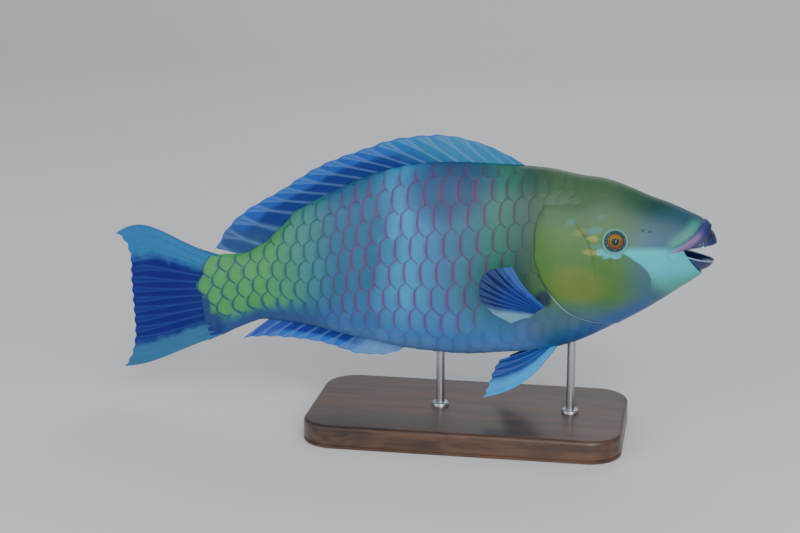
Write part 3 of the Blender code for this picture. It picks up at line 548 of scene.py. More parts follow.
class Paint:
    """One node material in the making."""

    def __init__(self, name: str, roughness: float = 0.5, **constants: float | tuple) -> None:
        """Start a Principled material.

        Args:
            name: the material's name.
            roughness: its constant roughness.
            constants: other constant inputs of the shader, spaces in their names written as underscores.
        """
        self.material = bpy.data.materials.new(name)
        self.material.use_nodes = True
        self.tree = self.material.node_tree
        self.shader = self.tree.nodes["Principled BSDF"]
        self.shader.inputs["Roughness"].default_value = roughness
        for key, value in constants.items():
            self.shader.inputs[key.replace("_", " ")].default_value = value

    def node(self, kind: str, settings: dict | None = None, inputs: dict | None = None) -> bpy.types.Node:
        """Add a node.

        Args:
            kind: the node's type.
            settings: its properties, set first, with a ramp's stops under "stops".
            inputs: a value or link for each input, by name or number.

        Returns:
            The node.
        """
        made = self.tree.nodes.new(kind)
        for key, value in (settings or {}).items():
            if key == "stops":
                while len(made.color_ramp.elements) < len(value):
                    made.color_ramp.elements.new(1.0)
                for element, (place, colour) in zip(made.color_ramp.elements, value):
                    element.position = place
                    element.color = colour
            else:
                setattr(made, key, value)
        for key, value in (inputs or {}).items():
            if isinstance(value, Value):
                self.tree.links.new(value.socket, made.inputs[key])
            else:
                made.inputs[key].default_value = value
        return made

    def math(self, operation: str, *values: "Value | float") -> Value:
        """Add a Math node over numbers and links."""
        made = self.node("ShaderNodeMath", {"operation": operation}, dict(enumerate(values)))
        return Value(self, made.outputs[0])

    def step(self, value: Value, low: float, high: float) -> Value:
        """Rise smoothly from 0 to 1 between two values, or fall where the first is the higher."""
        inputs = {"Value": value, "From Min": low, "From Max": high}
        made = self.node("ShaderNodeMapRange", {"interpolation_type": "SMOOTHSTEP"}, inputs)
        if low > high:
            made.inputs["From Min"].default_value = high
            made.inputs["From Max"].default_value = low
            made.inputs["To Min"].default_value = 1.0
            made.inputs["To Max"].default_value = 0.0
        return Value(self, made.outputs[0])

    def blend(self, share: "Value | float", first: "Value | Colour", second: "Value | Colour") -> Value:
        """Mix two colours."""
        settings = {"data_type": "RGBA", "clamp_factor": True}
        return Value(self, self.node("ShaderNodeMix", settings, {0: share, 6: first, 7: second}).outputs[2])

    def scaled(self, colour: Value, gain: Value) -> Value:
        """Brighten or darken a colour."""
        made = self.node("ShaderNodeVectorMath", {"operation": "SCALE"}, {0: colour, "Scale": gain})
        return Value(self, made.outputs[0])

    def ramp(self, value: Value, stops: Sequence[tuple[float, Colour]], low: float, high: float) -> Value:
        """Read a run of colours whose stops stand between a low and a high value."""
        share = (value - low) / (high - low)
        placed = [((place - low) / (high - low), colour) for place, colour in stops]
        return Value(self, self.node("ShaderNodeValToRGB", {"stops": placed}, {0: share}).outputs[0])

    def attribute(self, name: str) -> Value:
        """Read a point value of the mesh."""
        return Value(self, self.node("ShaderNodeAttribute", {"attribute_name": name}).outputs["Fac"])

    def own_place(self) -> Value:
        """The surface's own place as a vector in metres."""
        return Value(self, self.node("ShaderNodeTexCoord").outputs["Object"])

    def place(self) -> tuple[Value, Value, Value]:
        """The surface's own x, y and z in metres."""
        parts = self.node("ShaderNodeSeparateXYZ", None, {0: self.own_place()}).outputs
        return Value(self, parts[0]), Value(self, parts[1]), Value(self, parts[2])

    def vector(self, x: "Value | float", y: "Value | float", z: "Value | float") -> Value:
        """Join three numbers into a vector."""
        return Value(self, self.node("ShaderNodeCombineXYZ", None, {0: x, 1: y, 2: z}).outputs[0])

    def noise(self, scale: float, detail: float = 2.0, where: Value | None = None) -> Value:
        """Soft noise from 0 to 1, with about as many lumps a metre as the scale says."""
        inputs = {"Vector": where or self.own_place(), "Scale": scale, "Detail": detail}
        return Value(self, self.node("ShaderNodeTexNoise", None, inputs).outputs[0])

    def cells(self, scale: float) -> Value:
        """Distance to the nearest of many scattered points."""
        made = self.node("ShaderNodeTexVoronoi", None, {"Vector": self.own_place(), "Scale": scale})
        return Value(self, made.outputs["Distance"])

    def blob(self, x: Value, z: Value, centre: Pair, size: Pair, lean: float) -> Value:
        """A soft oval mark in the side view.

        Args:
            x: place along the fish.
            z: height.
            centre: the mark's middle.
            size: its half length and half height.
            lean: its slope, in degrees, the front end up.

        Returns:
            1 in the middle falling to 0 at the edge.
        """
        c, s = math.cos(math.radians(lean)), math.sin(math.radians(lean))
        dx, dz = x - centre[0], z - centre[1]
        along = (dx * c + dz * s) / size[0]
        across = (dz * c - dx * s) / size[1]
        return self.step(along * along + across * across, 1.0, 0.15)

    def feed(self, name: str, value: Value) -> None:
        """Link a value to one of the shader's inputs."""
        self.tree.links.new(value.socket, self.shader.inputs[name])

    def bump(self, height: Value, distance: float) -> None:
        """Give the surface fine relief from a height of 0 to 1."""
        made = self.node("ShaderNodeBump", None, {"Height": height, "Distance": distance, "Strength": 1.0})
        self.feed("Normal", Value(self, made.outputs[0]))


# Colours of the living fish, with some painted shade and a painted sheen


@dataclass(frozen=True)
class FishColours:
    """Where each colour of the body lies, shared by the skin and the scales."""

    shoulder: Colour = tint(41, 106, 89)
    flank: Colour = tint(54, 103, 144)
    pale: Colour = tint(47, 135, 185)
    teal: Colour = tint(37, 92, 128)
    green: Colour = tint(52, 118, 116)
    yellow: Colour = tint(62, 138, 77)
    behind_gill: Colour = tint(38, 71, 67)
    # Painted shade: a darker blue patch on the upper back, below the dorsal fin.
    back_painted_shade: Colour = tint(37, 62, 100)
    # Painted shade: near black where the pectoral fin meets the body.
    axil_painted_shade: Colour = tint(10, 36, 60)
    tail_root: Colour = tint(10, 36, 110)
    tail_top: Colour = tint(36, 98, 148)
    belly: Colour = tint(55, 109, 171)
    belly_front: Colour = tint(87, 90, 131)
    belly_rear: Colour = tint(29, 65, 122)
    # Painted sheen: a paler, greyer blue where the belly faces down.
    underside_painted_sheen: Colour = tint(82, 122, 176)
    nape: Colour = tint(58, 92, 64)
    forehead: Colour = tint(18, 67, 58)
    cheek: Colour = tint(62, 105, 43)
    gold: Colour = tint(89, 109, 45)
    cheek_low: Colour = tint(56, 93, 108)
    snout: Colour = tint(27, 74, 93)
    snout_low: Colour = tint(22, 84, 112)
    band: Colour = tint(61, 128, 119)
    turquoise: Colour = tint(52, 174, 187)
    chin: Colour = tint(71, 138, 131)
    throat: Colour = tint(34, 79, 134)
    lip_pink: Colour = tint(116, 92, 140)
    lip_purple: Colour = tint(47, 57, 111)
    lip_blue: Colour = tint(14, 26, 88)
    ring_pale: Colour = tint(118, 170, 152)
    ring_dark: Colour = tint(66, 112, 112)
    streak_teal: Colour = tint(58, 116, 112)
    streak_orange: Colour = tint(136, 138, 62)
    # Painted shade: the lining inside the mouth, near black.
    mouth: Colour = tint(6, 14, 44)
    membrane: Colour = tint(122, 156, 172)

    def body(self, p: Paint, x: Value, z: Value, rise: Value) -> Value:
        """Colour of the flanks, back and belly.

        Args:
            p: the material in the making.
            x: place along the fish.
            z: height.
            rise: 1 on the back, 0 at the side and -1 on the belly.

        Returns:
            The colour.
        """
        wave = (p.noise(55.0, 2.0) - 0.5) * 0.012
        flank = p.ramp(x + wave, [
            (-0.165, self.yellow), (-0.122, self.yellow), (-0.098, self.green), (-0.078, self.teal),
            (-0.055, self.teal), (-0.036, self.pale), (-0.012, self.flank), (0.020, self.shoulder),
            (0.038, self.behind_gill),
        ], -0.18, 0.06)
        belly = p.ramp(x, [
            (-0.160, self.belly_rear), (-0.105, self.belly_rear), (-0.050, self.belly), (0.020, self.belly),
            (0.060, self.belly_front),
        ], -0.18, 0.08)
        rear = p.step(x, -0.085, -0.112)
        drop = rise * (1.0 + rear * 0.6) + rear * 0.46
        low = p.step(drop + (p.noise(90.0, 1.0) - 0.5) * (0.3 - rear * 0.2), -0.20, -0.85)
        colour = p.blend(low, flank, belly)
        # Painted sheen: paler, greyer colour where the belly faces down.
        colour = p.blend(p.step(rise, -0.70, -0.98) * p.step(x, -0.095, -0.050), colour, self.underside_painted_sheen)
        # Painted shade: darken an oval patch of the upper back.
        painted_shade_spot = p.blob(x, z, (-0.0110, 0.1530), (0.0330, 0.0240), 10.0)
        colour = p.blend(painted_shade_spot * 0.75, colour, self.back_painted_shade)
        low_end = p.step(x, -0.1595, -0.1630) * p.step(z, 0.0760, 0.0720)
        low_end = p.math("MAXIMUM", low_end, p.step(x, -0.1500, -0.1580) * p.step(z, 0.0670, 0.0615))
        colour = p.blend(low_end * 0.9, colour, self.tail_root)
        top_end = p.step(x, -0.1550, -0.1610) * p.step(z, 0.1000, 0.1035)
        return p.blend(top_end, colour, self.tail_top)

    def head(self, p: Paint, x: Value, z: Value, rise: Value) -> Value:
        """Colour of the head but for the lips and the marks round the eye."""
        upper = p.ramp(x, [
            (0.045, self.nape), (0.085, self.nape), (0.108, self.forehead), (0.125, self.snout),
        ], 0.04, 0.14)
        cheek = p.blend(p.blob(x, z, (0.0660, 0.1000), (0.0210, 0.0150), -20.0), self.cheek, self.gold)
        cheek = p.blend(p.step(x, 0.085, 0.108), cheek, self.cheek_low)
        cheek = p.blend(p.step(z, 0.094, 0.078), cheek, self.cheek_low)
        colour = p.blend(p.step(z, 0.124, 0.146), cheek, upper)
        snout = p.blend(p.step(z, 0.136, 0.122), self.snout, self.snout_low)
        ahead = p.step(x, 0.096, 0.116) * p.step(z, 0.112, 0.124)
        colour = p.blend(ahead * p.step(rise, 1.0, 0.55), colour, snout)
        turned = p.step(x + (z - 0.1210) * 1.2, 0.076, 0.092)
        field = p.step(p.attribute("cheek"), 0.0005, -0.0007) * p.step(z, 0.1245, 0.1195) * turned
        pale = p.blend(p.step(z, 0.112, 0.098), self.turquoise, self.chin)
        colour = p.blend(field, colour, pale)
        throat = p.step(rise, -0.62, -0.90) * p.step(x, 0.118, 0.100)
        return p.blend(throat, colour, self.throat)

    def marks(self, p: Paint, x: Value, z: Value, rise: Value, colour: Value) -> Value:
        """Add painted shade at the pectoral fin's root, the lips' colours, the band behind them and the marks
        round the eye.
        """
        # Painted shade in the pit between the pectoral fin's root and the body.
        axil_painted_shade = p.blob(x, z, (0.0470, 0.0908), (0.0070, 0.0068), -50.0) * p.step(x, 0.0530, 0.0500)
        colour = p.blend(axil_painted_shade * 0.9, colour, self.axil_painted_shade)
        lip = p.attribute("lip")
        band = p.step(lip, -0.0085, -0.0030) * p.step(lip, 0.0004, -0.0006) * p.step(rise, 0.05, 0.25)
        band = band * p.step(rise, 1.0, 0.80) * p.step(x, 0.1130, 0.1210)
        colour = p.blend(band, colour, self.band)
        mauve = p.blend(p.step(rise, 0.30, 0.80), self.lip_pink, self.lip_purple)
        mauve = p.blend(p.step(lip, 0.0030, 0.0052) * 0.75, mauve, self.lip_blue)
        upper_lip = p.step(lip, -0.0002, 0.0008) * p.step(rise, 0.00, 0.07) * p.step(x, 0.1160, 0.1195)
        colour = p.blend(upper_lip, colour, mauve)
        x = x + (p.noise(230.0, 2.0) - 0.5) * 0.0036
        z = z + (p.noise(270.0, 2.0, p.vector(z, x, 0.3)) - 0.5) * 0.0036
        for centre, size, lean, tone, weight in (
            ((0.0750, 0.1322), (0.0066, 0.0026), 6.0, self.streak_teal, 0.75),
            ((0.0765, 0.1234), (0.0058, 0.0018), 2.0, self.streak_teal, 0.75),
            ((0.0742, 0.1276), (0.0042, 0.0022), 0.0, self.streak_orange, 0.75),
            ((0.0745, 0.1196), (0.0080, 0.0022), -6.0, self.streak_orange, 0.65),
            ((0.0832, 0.1184), (0.0042, 0.0028), 0.0, self.turquoise, 0.80),
            ((0.0786, 0.1200), (0.0036, 0.0024), 30.0, self.turquoise, 0.80),
            ((0.0880, 0.1179), (0.0040, 0.0024), 10.0, self.turquoise, 0.80),
            ((0.0610, 0.1366), (0.0030, 0.0028), 0.0, self.streak_teal, 0.60),
            ((0.0790, 0.1395), (0.0040, 0.0022), 20.0, self.streak_teal, 0.35),
            ((0.0660, 0.1310), (0.0050, 0.0024), 10.0, self.streak_orange, 0.30),
        ):
            colour = p.blend(p.blob(x, z, centre, size, lean) * weight, colour, tone)
        away = p.attribute("eye")
        colour = p.blend(p.step(away, 0.0092, 0.0060) * 0.8, colour, self.ring_dark)
        thin = p.step(away, 0.0065, 0.0070) * p.step(away, 0.0077, 0.0072)
        return p.blend(thin * 0.55, colour, self.ring_pale)

    def whole(self, p: Paint, x: Value, z: Value, rise: Value, drift: "Value | float" = 0.0) -> Value:
        """Colour of the whole fish, its body's colours read a little way along where there is a drift."""
        body = self.body(p, x + drift, z, rise)
        colour = p.blend(p.attribute("cover"), body, self.head(p, x, z, rise))
        return self.marks(p, x, z, rise, colour)


@dataclass(frozen=True)
class SkinFinish:
    """Soft, faintly glossy skin with all the fish's markings, some painted shade and a painted sheen."""

    colours: FishColours = FishColours()
    roughness: float = 0.42

    def make(self) -> bpy.types.Material:
        """Make the material."""
        p = Paint("fish skin", self.roughness, Specular_IOR_Level=0.32, Coat_Weight=0.08,
                  Coat_Roughness=0.28)
        x, _, z = p.place()
        colour = self.colours.whole(p, x, z, p.attribute("rise"))
        colour = p.blend(p.attribute("membrane"), colour, self.colours.membrane)
        # Painted shade: the inside of the mouth is painted near black.
        colour = p.blend(p.attribute("inside"), colour, self.colours.mouth)
        mottle = p.noise(420.0, 4.0)
        cloud = p.noise(95.0, 2.0)
        colour = p.scaled(colour, 0.80 + mottle * 0.20 + cloud * 0.20)
        p.feed("Base Color", colour)
        p.feed("Roughness", self.roughness - 0.08 + mottle * 0.16)
        p.bump(p.noise(1500.0, 3.0) * 0.6 + p.cells(900.0) * 0.4, 0.00005)
        return p.material


@dataclass(frozen=True)
class ScaleFinish:
    """Scales that carry the body's colours, each with a coloured free edge."""

    colours: FishColours = FishColours()
    edge_rear: Colour = tint(28, 62, 104)
    edge_teal: Colour = tint(32, 74, 92)
    edge_pink: Colour = tint(98, 44, 98)
    edge_brown: Colour = tint(58, 62, 72)
    edge_front: Colour = tint(46, 76, 72)
    roughness: float = 0.38

    def make(self) -> bpy.types.Material:
        """Make the material."""
        p = Paint("fish scales", self.roughness, Specular_IOR_Level=0.32, Coat_Weight=0.08,
                  Coat_Roughness=0.26)
        x, _, z = p.place()
        rise, tone, rear = p.attribute("rise"), p.attribute("tone"), p.attribute("rear")
        slant, front = p.attribute("slant"), p.attribute("front")
        colour = self.colours.whole(p, x, z, rise, (tone - 0.5) * 0.005)
        edge_colour = p.ramp(x, [
            (-0.165, self.edge_rear), (-0.120, self.edge_teal), (-0.088, self.edge_teal),
            (-0.068, self.edge_pink), (0.008, self.edge_pink), (0.026, self.edge_brown),
            (0.050, self.edge_front),
        ], -0.18, 0.06)
        low = p.step(rise, -0.32, -0.64) * p.step(x, -0.070, -0.115)
        edge_colour = p.blend(low, edge_colour, self.colours.belly_rear)
        soft = p.blend(0.12, edge_colour, colour)
        edge_colour = p.blend(slant * p.step(x, -0.090, -0.070), edge_colour, soft)
        width = 0.0014 - slant * 0.0003 + low * 0.0015 + (p.noise(260.0, 2.0) - 0.5) * 0.0008
        width = width + p.step(x, -0.095, -0.150) * 0.0003
        near = p.step(rear - width, 0.0007, -0.0007)
        limit = p.step(x, -0.010, 0.055) * 0.95 - 0.78
        strength = p.step(rise - limit, -0.12, 0.28) * p.step(rise, 1.02, 0.86) * p.step(x, 0.060, 0.030)
        colour = p.blend(near * (0.10 + strength * 0.75), colour, edge_colour)
        under = p.step(front, 0.72, 1.0) * p.step(front, 1.5, 1.1) * (1 - slant)
        colour = p.blend(under * strength * 0.35, colour, edge_colour)
        mottle = p.noise(500.0, 4.0)
        middle = p.step(rear, 0.0005, 0.0040) * p.step(front, 1.0, 0.6)
        colour = p.scaled(colour, 0.84 + mottle * 0.14 + tone * 0.12 + middle * 0.08)
        p.feed("Base Color", colour)
        p.feed("Roughness", self.roughness - 0.07 + mottle * 0.16)
        p.bump(p.noise(700.0, 3.0), 0.00007)
        return p.material


# Skin


@dataclass
class FishSkin:
    """The whole skin: body, gill folds, head, lips and the inside of the mouth."""

    columns: int = 480
    body_rows: int = 170
    head_rows: int = 250
    coat_depth: float = 0.0009
    tail_overrun: float = 0.0045
    tail_pinch: float = 0.0140
    lip_radius: float = 0.00092
    gill_top: float = 0.1385
    gill_fade: float = 0.0110
    gill_lift: float = 0.0013
    gill_foot: float = 0.0770
    gill_reach: float = 0.0630
    cheek_line: Pairs = (
        (0.0740, 0.1215), (0.0790, 0.1190), (0.0830, 0.1166), (0.0862, 0.1178), (0.0917, 0.1196),
        (0.0969, 0.1162), (0.1021, 0.1127), (0.1062, 0.1084), (0.1081, 0.1034), (0.1076, 0.0982),
        (0.1060, 0.0900), (0.1030, 0.0780),
    )
    lip_line: Pairs = (
        (0.0900, 0.1168), (0.1150, 0.1200), (0.1205, 0.1212), (0.1264, 0.1252), (0.1313, 0.1295),
        (0.1359, 0.1364), (0.1368, 0.1400),
    )
    jaw_line: Pairs = (
        (0.1178, 0.1212), (0.1172, 0.1190), (0.1180, 0.1160), (0.1203, 0.1135), (0.1235, 0.1122),
    )
    cheek_edge: Pairs = (
        (0.1410, 0.0535), (0.1350, 0.0635), (0.1220, 0.0720), (0.1080, 0.0752), (0.0940, 0.0768),
        (0.0830, 0.0795), (0.0760, 0.0830),
    )
    nostrils: Triples = ((0.1062, 0.1318, 0.0004), (0.1024, 0.1325, 0.00048))
    nostril_depth: float = 0.0008
    nostril_rim: float = 0.00014
    cheek_groove: float = 0.00030
    lip_groove: float = 0.00045
    lip_swell: float = 0.00050
    jaw_groove: float = 0.00045
    chin_groove: float = 0.00025
    corner_pad: tuple[float, float, float, float] = (0.1216, 0.1172, 0.0022, 0.00035)
    socket_reach: float = 0.0060
    socket_spread: float = 0.45
    lid_place: float = 0.0067
    lid_width: float = 0.0008
    lid_height: float = 0.00050
    pit_depth: float = 0.0032
    pit_wall: float = 0.0009
    throat: Triple = (0.1120, 0.0, 0.1190)
    lip_steps: int = 10
    mouth_steps: Pairs = (
        (0.001, 0.02), (0.003, 0.05), (0.006, 0.10), (0.010, 0.22), (0.014, 0.45), (0.017, 0.8),
        (0.018, 0.98),
    )
    fold: Triples = (
        (-3.00, -0.90, 0.0), (-2.00, -1.00, 0.0), (-1.20, -1.25, 0.0), (-0.60, -1.50, 0.0),
        (0.00, -1.70, 0.0), (0.30, -1.62, 0.0), (0.00, -1.50, 1.0), (-0.60, -1.15, 1.0),
        (-1.15, -0.85, 1.0), (-1.35, -0.72, 1.0), (-1.40, -0.60, 1.0), (-1.30, -0.50, 1.0),
        (-1.00, -0.45, 1.0), (-0.50, -0.45, 0.9), (0.20, -0.55, 0.5), (0.90, -0.65, 0.2),
        (1.20, -0.62, 0.0), (1.00, -0.50, 0.0), (0.50, -0.22, 0.0), (0.15, -0.02, 0.0),
        (0.00, 0.12, 0.0), (-0.05, 0.28, 0.0), (0.02, 0.46, 0.0), (0.15, 0.62, 0.0),
        (0.40, 0.76, 0.0), (0.80, 0.87, 0.0), (1.50, 0.95, 0.0), (2.50, 1.00, 0.0),
    )
    cover_start: int = 17

    def angles(self) -> Array:
        """Angles of the columns, closer together on the sides than on the back and belly."""
        turn = 2.0 * math.pi * np.arange(self.columns) / self.columns
        return turn + 0.22 * np.sin(2.0 * turn)

    def openness(self, z: Array) -> Array:
        """How far the gill cover stands free of the body at a height."""
        return ease((self.gill_top + self.gill_fade - z) / self.gill_fade)

    def cover_lift(self, x: Array, z: Array) -> Array:
        """Rise of the gill cover over the flesh."""
        height = np.clip((z - self.gill_foot) / self.gill_reach, 0.0, 1.0)
        fullness = 0.35 + 0.65 * np.sqrt(np.sin(math.pi * height))
        front = side_line(self.cheek_edge)(z)
        rear = BODY.gill(z)
        run = np.clip((front - x) / np.maximum(front - rear, 1e-4), 0.0, 1.0)
        return self.gill_lift * ease(run * 1.2) * fullness * self.openness(z)

    def relief(self, points: Array, angle: Array) -> Array:
        """Fine height of the head's skin over the flesh.

        Args:
            points: points of the flesh.
            angle: their angles.

        Returns:
            Heights in metres.
        """
        x, z = points[..., 0], points[..., 2]
        rise = np.cos(angle)
        height = self.cover_lift(x, z)
        groove = bell(x - side_line(self.cheek_edge)(z), 0.0010)
        window = ease((z - 0.080) / 0.008) * ease((0.138 - z) / 0.010)
        height = height - self.cheek_groove * groove * window
        lip = distance_from_line(x, z, self.lip_line)
        upper = ease((rise - 0.02) / 0.10)
        height = height - self.lip_groove * bell(lip, 0.0006) * upper * ease((x - 0.1150) / 0.0040)
        height = height + self.lip_swell * ease(lip / 0.0018) * upper * ease((x - 0.112) / 0.004)
        height = height - self.jaw_groove * bell(distance_from_line(x, z, self.jaw_line), 0.0006)
        pad_x, pad_z, pad_width, pad_height = self.corner_pad
        height = height + pad_height * bell(np.hypot(x - pad_x, z - pad_z), pad_width)
        lower = BODY.rim_at(rise) - x
        chin = ease((-rise - 0.08) / 0.15)
        height = height - self.chin_groove * bell(lower - 0.0042, 0.0006) * chin
        for nx, nz, radius in self.nostrils:
            away = np.hypot(x - nx, z - nz)
            height = height - self.nostril_depth * bell(away, radius)
            height = height + self.nostril_rim * bell(away - 1.9 * radius, 0.0005)
        nape = ease((z - NAPE_START) / NAPE_BLEND) * ease((0.078 - x) / 0.014)
        return height - self.coat_depth * nape

    def socket(self, points: Array, normals: Array) -> tuple[Array, Array]:
        """Sink the skin under each eyeball and raise the fold round it.

        Args:
            points: points of the skin.
            normals: outward directions.

        Returns:
            The moved points, and their distance from the eye's axis.
        """
        away = EYE.away(points)
        for side in (-1.0, 1.0):
            centre, axis = EYE.surface(side)
            near = (away < self.socket_reach) & (points[..., 1] * side > 0.0)
            offset = points[near] - centre
            along = (offset @ axis)[:, None] * axis
            radial = offset - along
            length = np.maximum(np.linalg.norm(radial, axis=1, keepdims=True), 1e-6)
            points[near] = centre + along + radial * (self.socket_reach / length) ** self.socket_spread
        away = EYE.away(points)
        ridge = self.lid_height * bell(away - self.lid_place, self.lid_width)
        pit = -self.pit_depth * ease((self.socket_reach - away) / self.pit_wall)
        return points + (ridge + pit)[..., None] * normals, away

    def fold_rows(self, angle: Array) -> tuple[list[Array], list[Array], list[float], list[float]]:
        """Rows of skin that form the gill opening: body, membrane and the free edge of the cover.

        Args:
            angle: angles of the columns.

        Returns:
            For each row its stations, its heights, its share of membrane and its share of cover.
        """
        edge = BODY.station_at(BODY.gill, angle, 0.035, 0.104)
        z = BODY.point(edge, angle)[..., 2]
        open_share = self.openness(z)
        nape = ease((z - NAPE_START) / NAPE_BLEND)
        stations, heights, films, covers = [], [], [], []
        count = len(self.fold)
        for k, (dx, height, film) in enumerate(self.fold):
            flat = -3.0 + 5.5 * k / (count - 1)
            shift = (flat + (dx - flat) * open_share) * MM
            level = height * MM
            if height > 0.0:
                level = level * self.cover_lift(edge, z) / MM
            closed = -self.coat_depth * (1.0 - (1.0 - nape) * k / (count - 1))
            stations.append(edge + shift)
            heights.append(closed + (level - closed) * open_share)
            films.append(film)
            covers.append(float(k >= self.cover_start))
        return stations, heights, films, covers

    def lay(self) -> Part:
        """Lay out the whole skin as one closed grid."""
        angle = self.angles()
        stations, heights, films, covers = self.fold_rows(angle)
        start = BODY.station_at(BODY.tail, angle, -0.1695, -0.145) - self.tail_overrun
        end = BODY.rim - self.lip_radius
        behind = [start + (stations[0] - start) * (i / self.body_rows) for i in range(self.body_rows)]
        span = end - stations[-1]
        ahead = [stations[-1] + span * (i / self.head_rows) for i in range(1, self.head_rows + 1)]
        x = np.array(behind + stations + ahead)
        flat = [np.full(self.columns, -self.coat_depth)] * len(behind)
        height = np.array(flat + heights + [np.zeros(self.columns)] * len(ahead))
        film = [0.0] * len(behind) + films + [0.0] * len(ahead)
        cover = [0.0] * len(behind) + covers + [1.0] * len(ahead)
        first_head = len(behind) + len(stations)
        turn = np.broadcast_to(angle, x.shape)
        base = BODY.point(x, turn)
        normals = BODY.normal(x, turn)
        height[first_head:] += self.relief(base[first_head:], turn[first_head:])
        points = base + height[..., None] * normals
        pinch = np.sqrt(np.clip((x - x[0]) / self.tail_pinch, 0.012, 1.0))
        middle = BODY.bend(x)
        points[..., 1] = middle + (points[..., 1] - middle) * pinch
        points[first_head:], away_head = self.socket(points[first_head:], normals[first_head:])
        mouth, mouth_inside = self.mouth_rows(points)
        count = len(mouth)
        grid = np.concatenate([points, mouth])
        rows = len(grid)
        even = np.ones(self.columns)
        away = np.full((rows, self.columns), FAR_AWAY)
        away[first_head:len(x)] = away_head
        values = {
            "rise": np.cos(angle) * np.ones((rows, 1)),
            "cheek": distance_from_line(grid[..., 0], grid[..., 2], self.cheek_line),
            "lip": distance_from_line(grid[..., 0], grid[..., 2], self.lip_line),
            "eye": away,
            "cover": np.outer(cover + [1.0] * count, even),
            "membrane": np.outer(film + [0.0] * count, even),
            "inside": np.outer([0.0] * len(x) + mouth_inside, even),
        }
        z = BODY.point(stations[0], angle)[..., 2]
        values["membrane"] *= (ease((0.098 - z) / 0.010) * ease((z - 0.070) / 0.004))[None, :]
        soft = ease((base[..., 0] - COVER_START) / COVER_BLEND)
        closed = 1.0 - self.openness(z)[None, :]
        own = values["cover"][:len(x)]
        values["cover"][:len(x)] = own * (1.0 - closed) + soft * closed
        last = (rows - 1) * self.columns
        faces = [grid_faces(rows, self.columns, wrap=True, flip=True)]
        faces += [cap_faces(0, self.columns, False), cap_faces(last, self.columns, True)]
        faces += [cap_ends(0, self.columns, False), cap_ends(last, self.columns, True)]
        flat_values = {key: value.ravel() for key, value in values.items()}
        return Part(grid.reshape(-1, 3), faces, flat_values, self.bake_map(rows, faces))

    def bake_map(self, rows: int, faces: list[Array]) -> Array:
        """Unroll the skin: round the body across the map and along it up the map."""
        corners = []
        for number, group in enumerate(faces):
            row, column = group // self.columns, (group % self.columns).astype(float)
            if number == 0:
                turned = (column.max(axis=1) - column.min(axis=1)) > self.columns // 2
                column = np.where(turned[:, None] & (column < 1), column + self.columns, column)
                place = np.stack([column / self.columns, 0.02 + 0.96 * row / (rows - 1)], axis=-1)
            else:
                low = 0.004 if number % 2 else 0.992
                across = np.where(column > self.columns // 2, self.columns - column, column)
                far = np.where(column > self.columns // 2, 0.004, 0.0)
                place = np.stack([across / self.columns * 0.9 + 0.05 * (number > 2), low + far], axis=-1)
            corners.append(place.reshape(-1, 2))
        return np.concatenate(corners)

    def mouth_rows(self, points: Array) -> tuple[Array, list[float]]:
        """Roll the lips over and line the mouth back to a closed throat.

        Args:
            points: the skin's grid up to the rim of the mouth.

        Returns:
            The rows of points that follow, and how far inside the mouth each lies.
        """
        last = points[-1]
        forward = unit(last - points[-2])
        around = unit(np.roll(last, -1, axis=0) - np.roll(last, 1, axis=0))
        outward = unit(np.cross(forward, around))
        rows, inside = [], []
        for k in range(1, self.lip_steps + 1):
            turn = math.pi * k / self.lip_steps
            roll = math.sin(turn) * forward - (1.0 - math.cos(turn)) * outward
            rows.append(last + self.lip_radius * roll)
            inside.append(float(ease((k / self.lip_steps - 0.62) / 0.3)))
        rim = rows[-1]
        throat = np.array(self.throat)
        for depth, share in self.mouth_steps:
            moved = rim - np.array([depth, 0.0, 0.0])
            rows.append(moved + (throat - moved) * share)
            inside.append(1.0)
        return np.array(rows), inside

    def build(self) -> list[bpy.types.Object]:
        """Build the skin over all the nodes of flesh."""
        piece = self.lay().build("skin", SkinFinish().make(), sharp=80.0)
        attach(piece, "root")
        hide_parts("head", "lower_jaw", "torso", "tail_stalk", "gill_cover_right", "gill_cover_left")
        return [piece]


# Scales


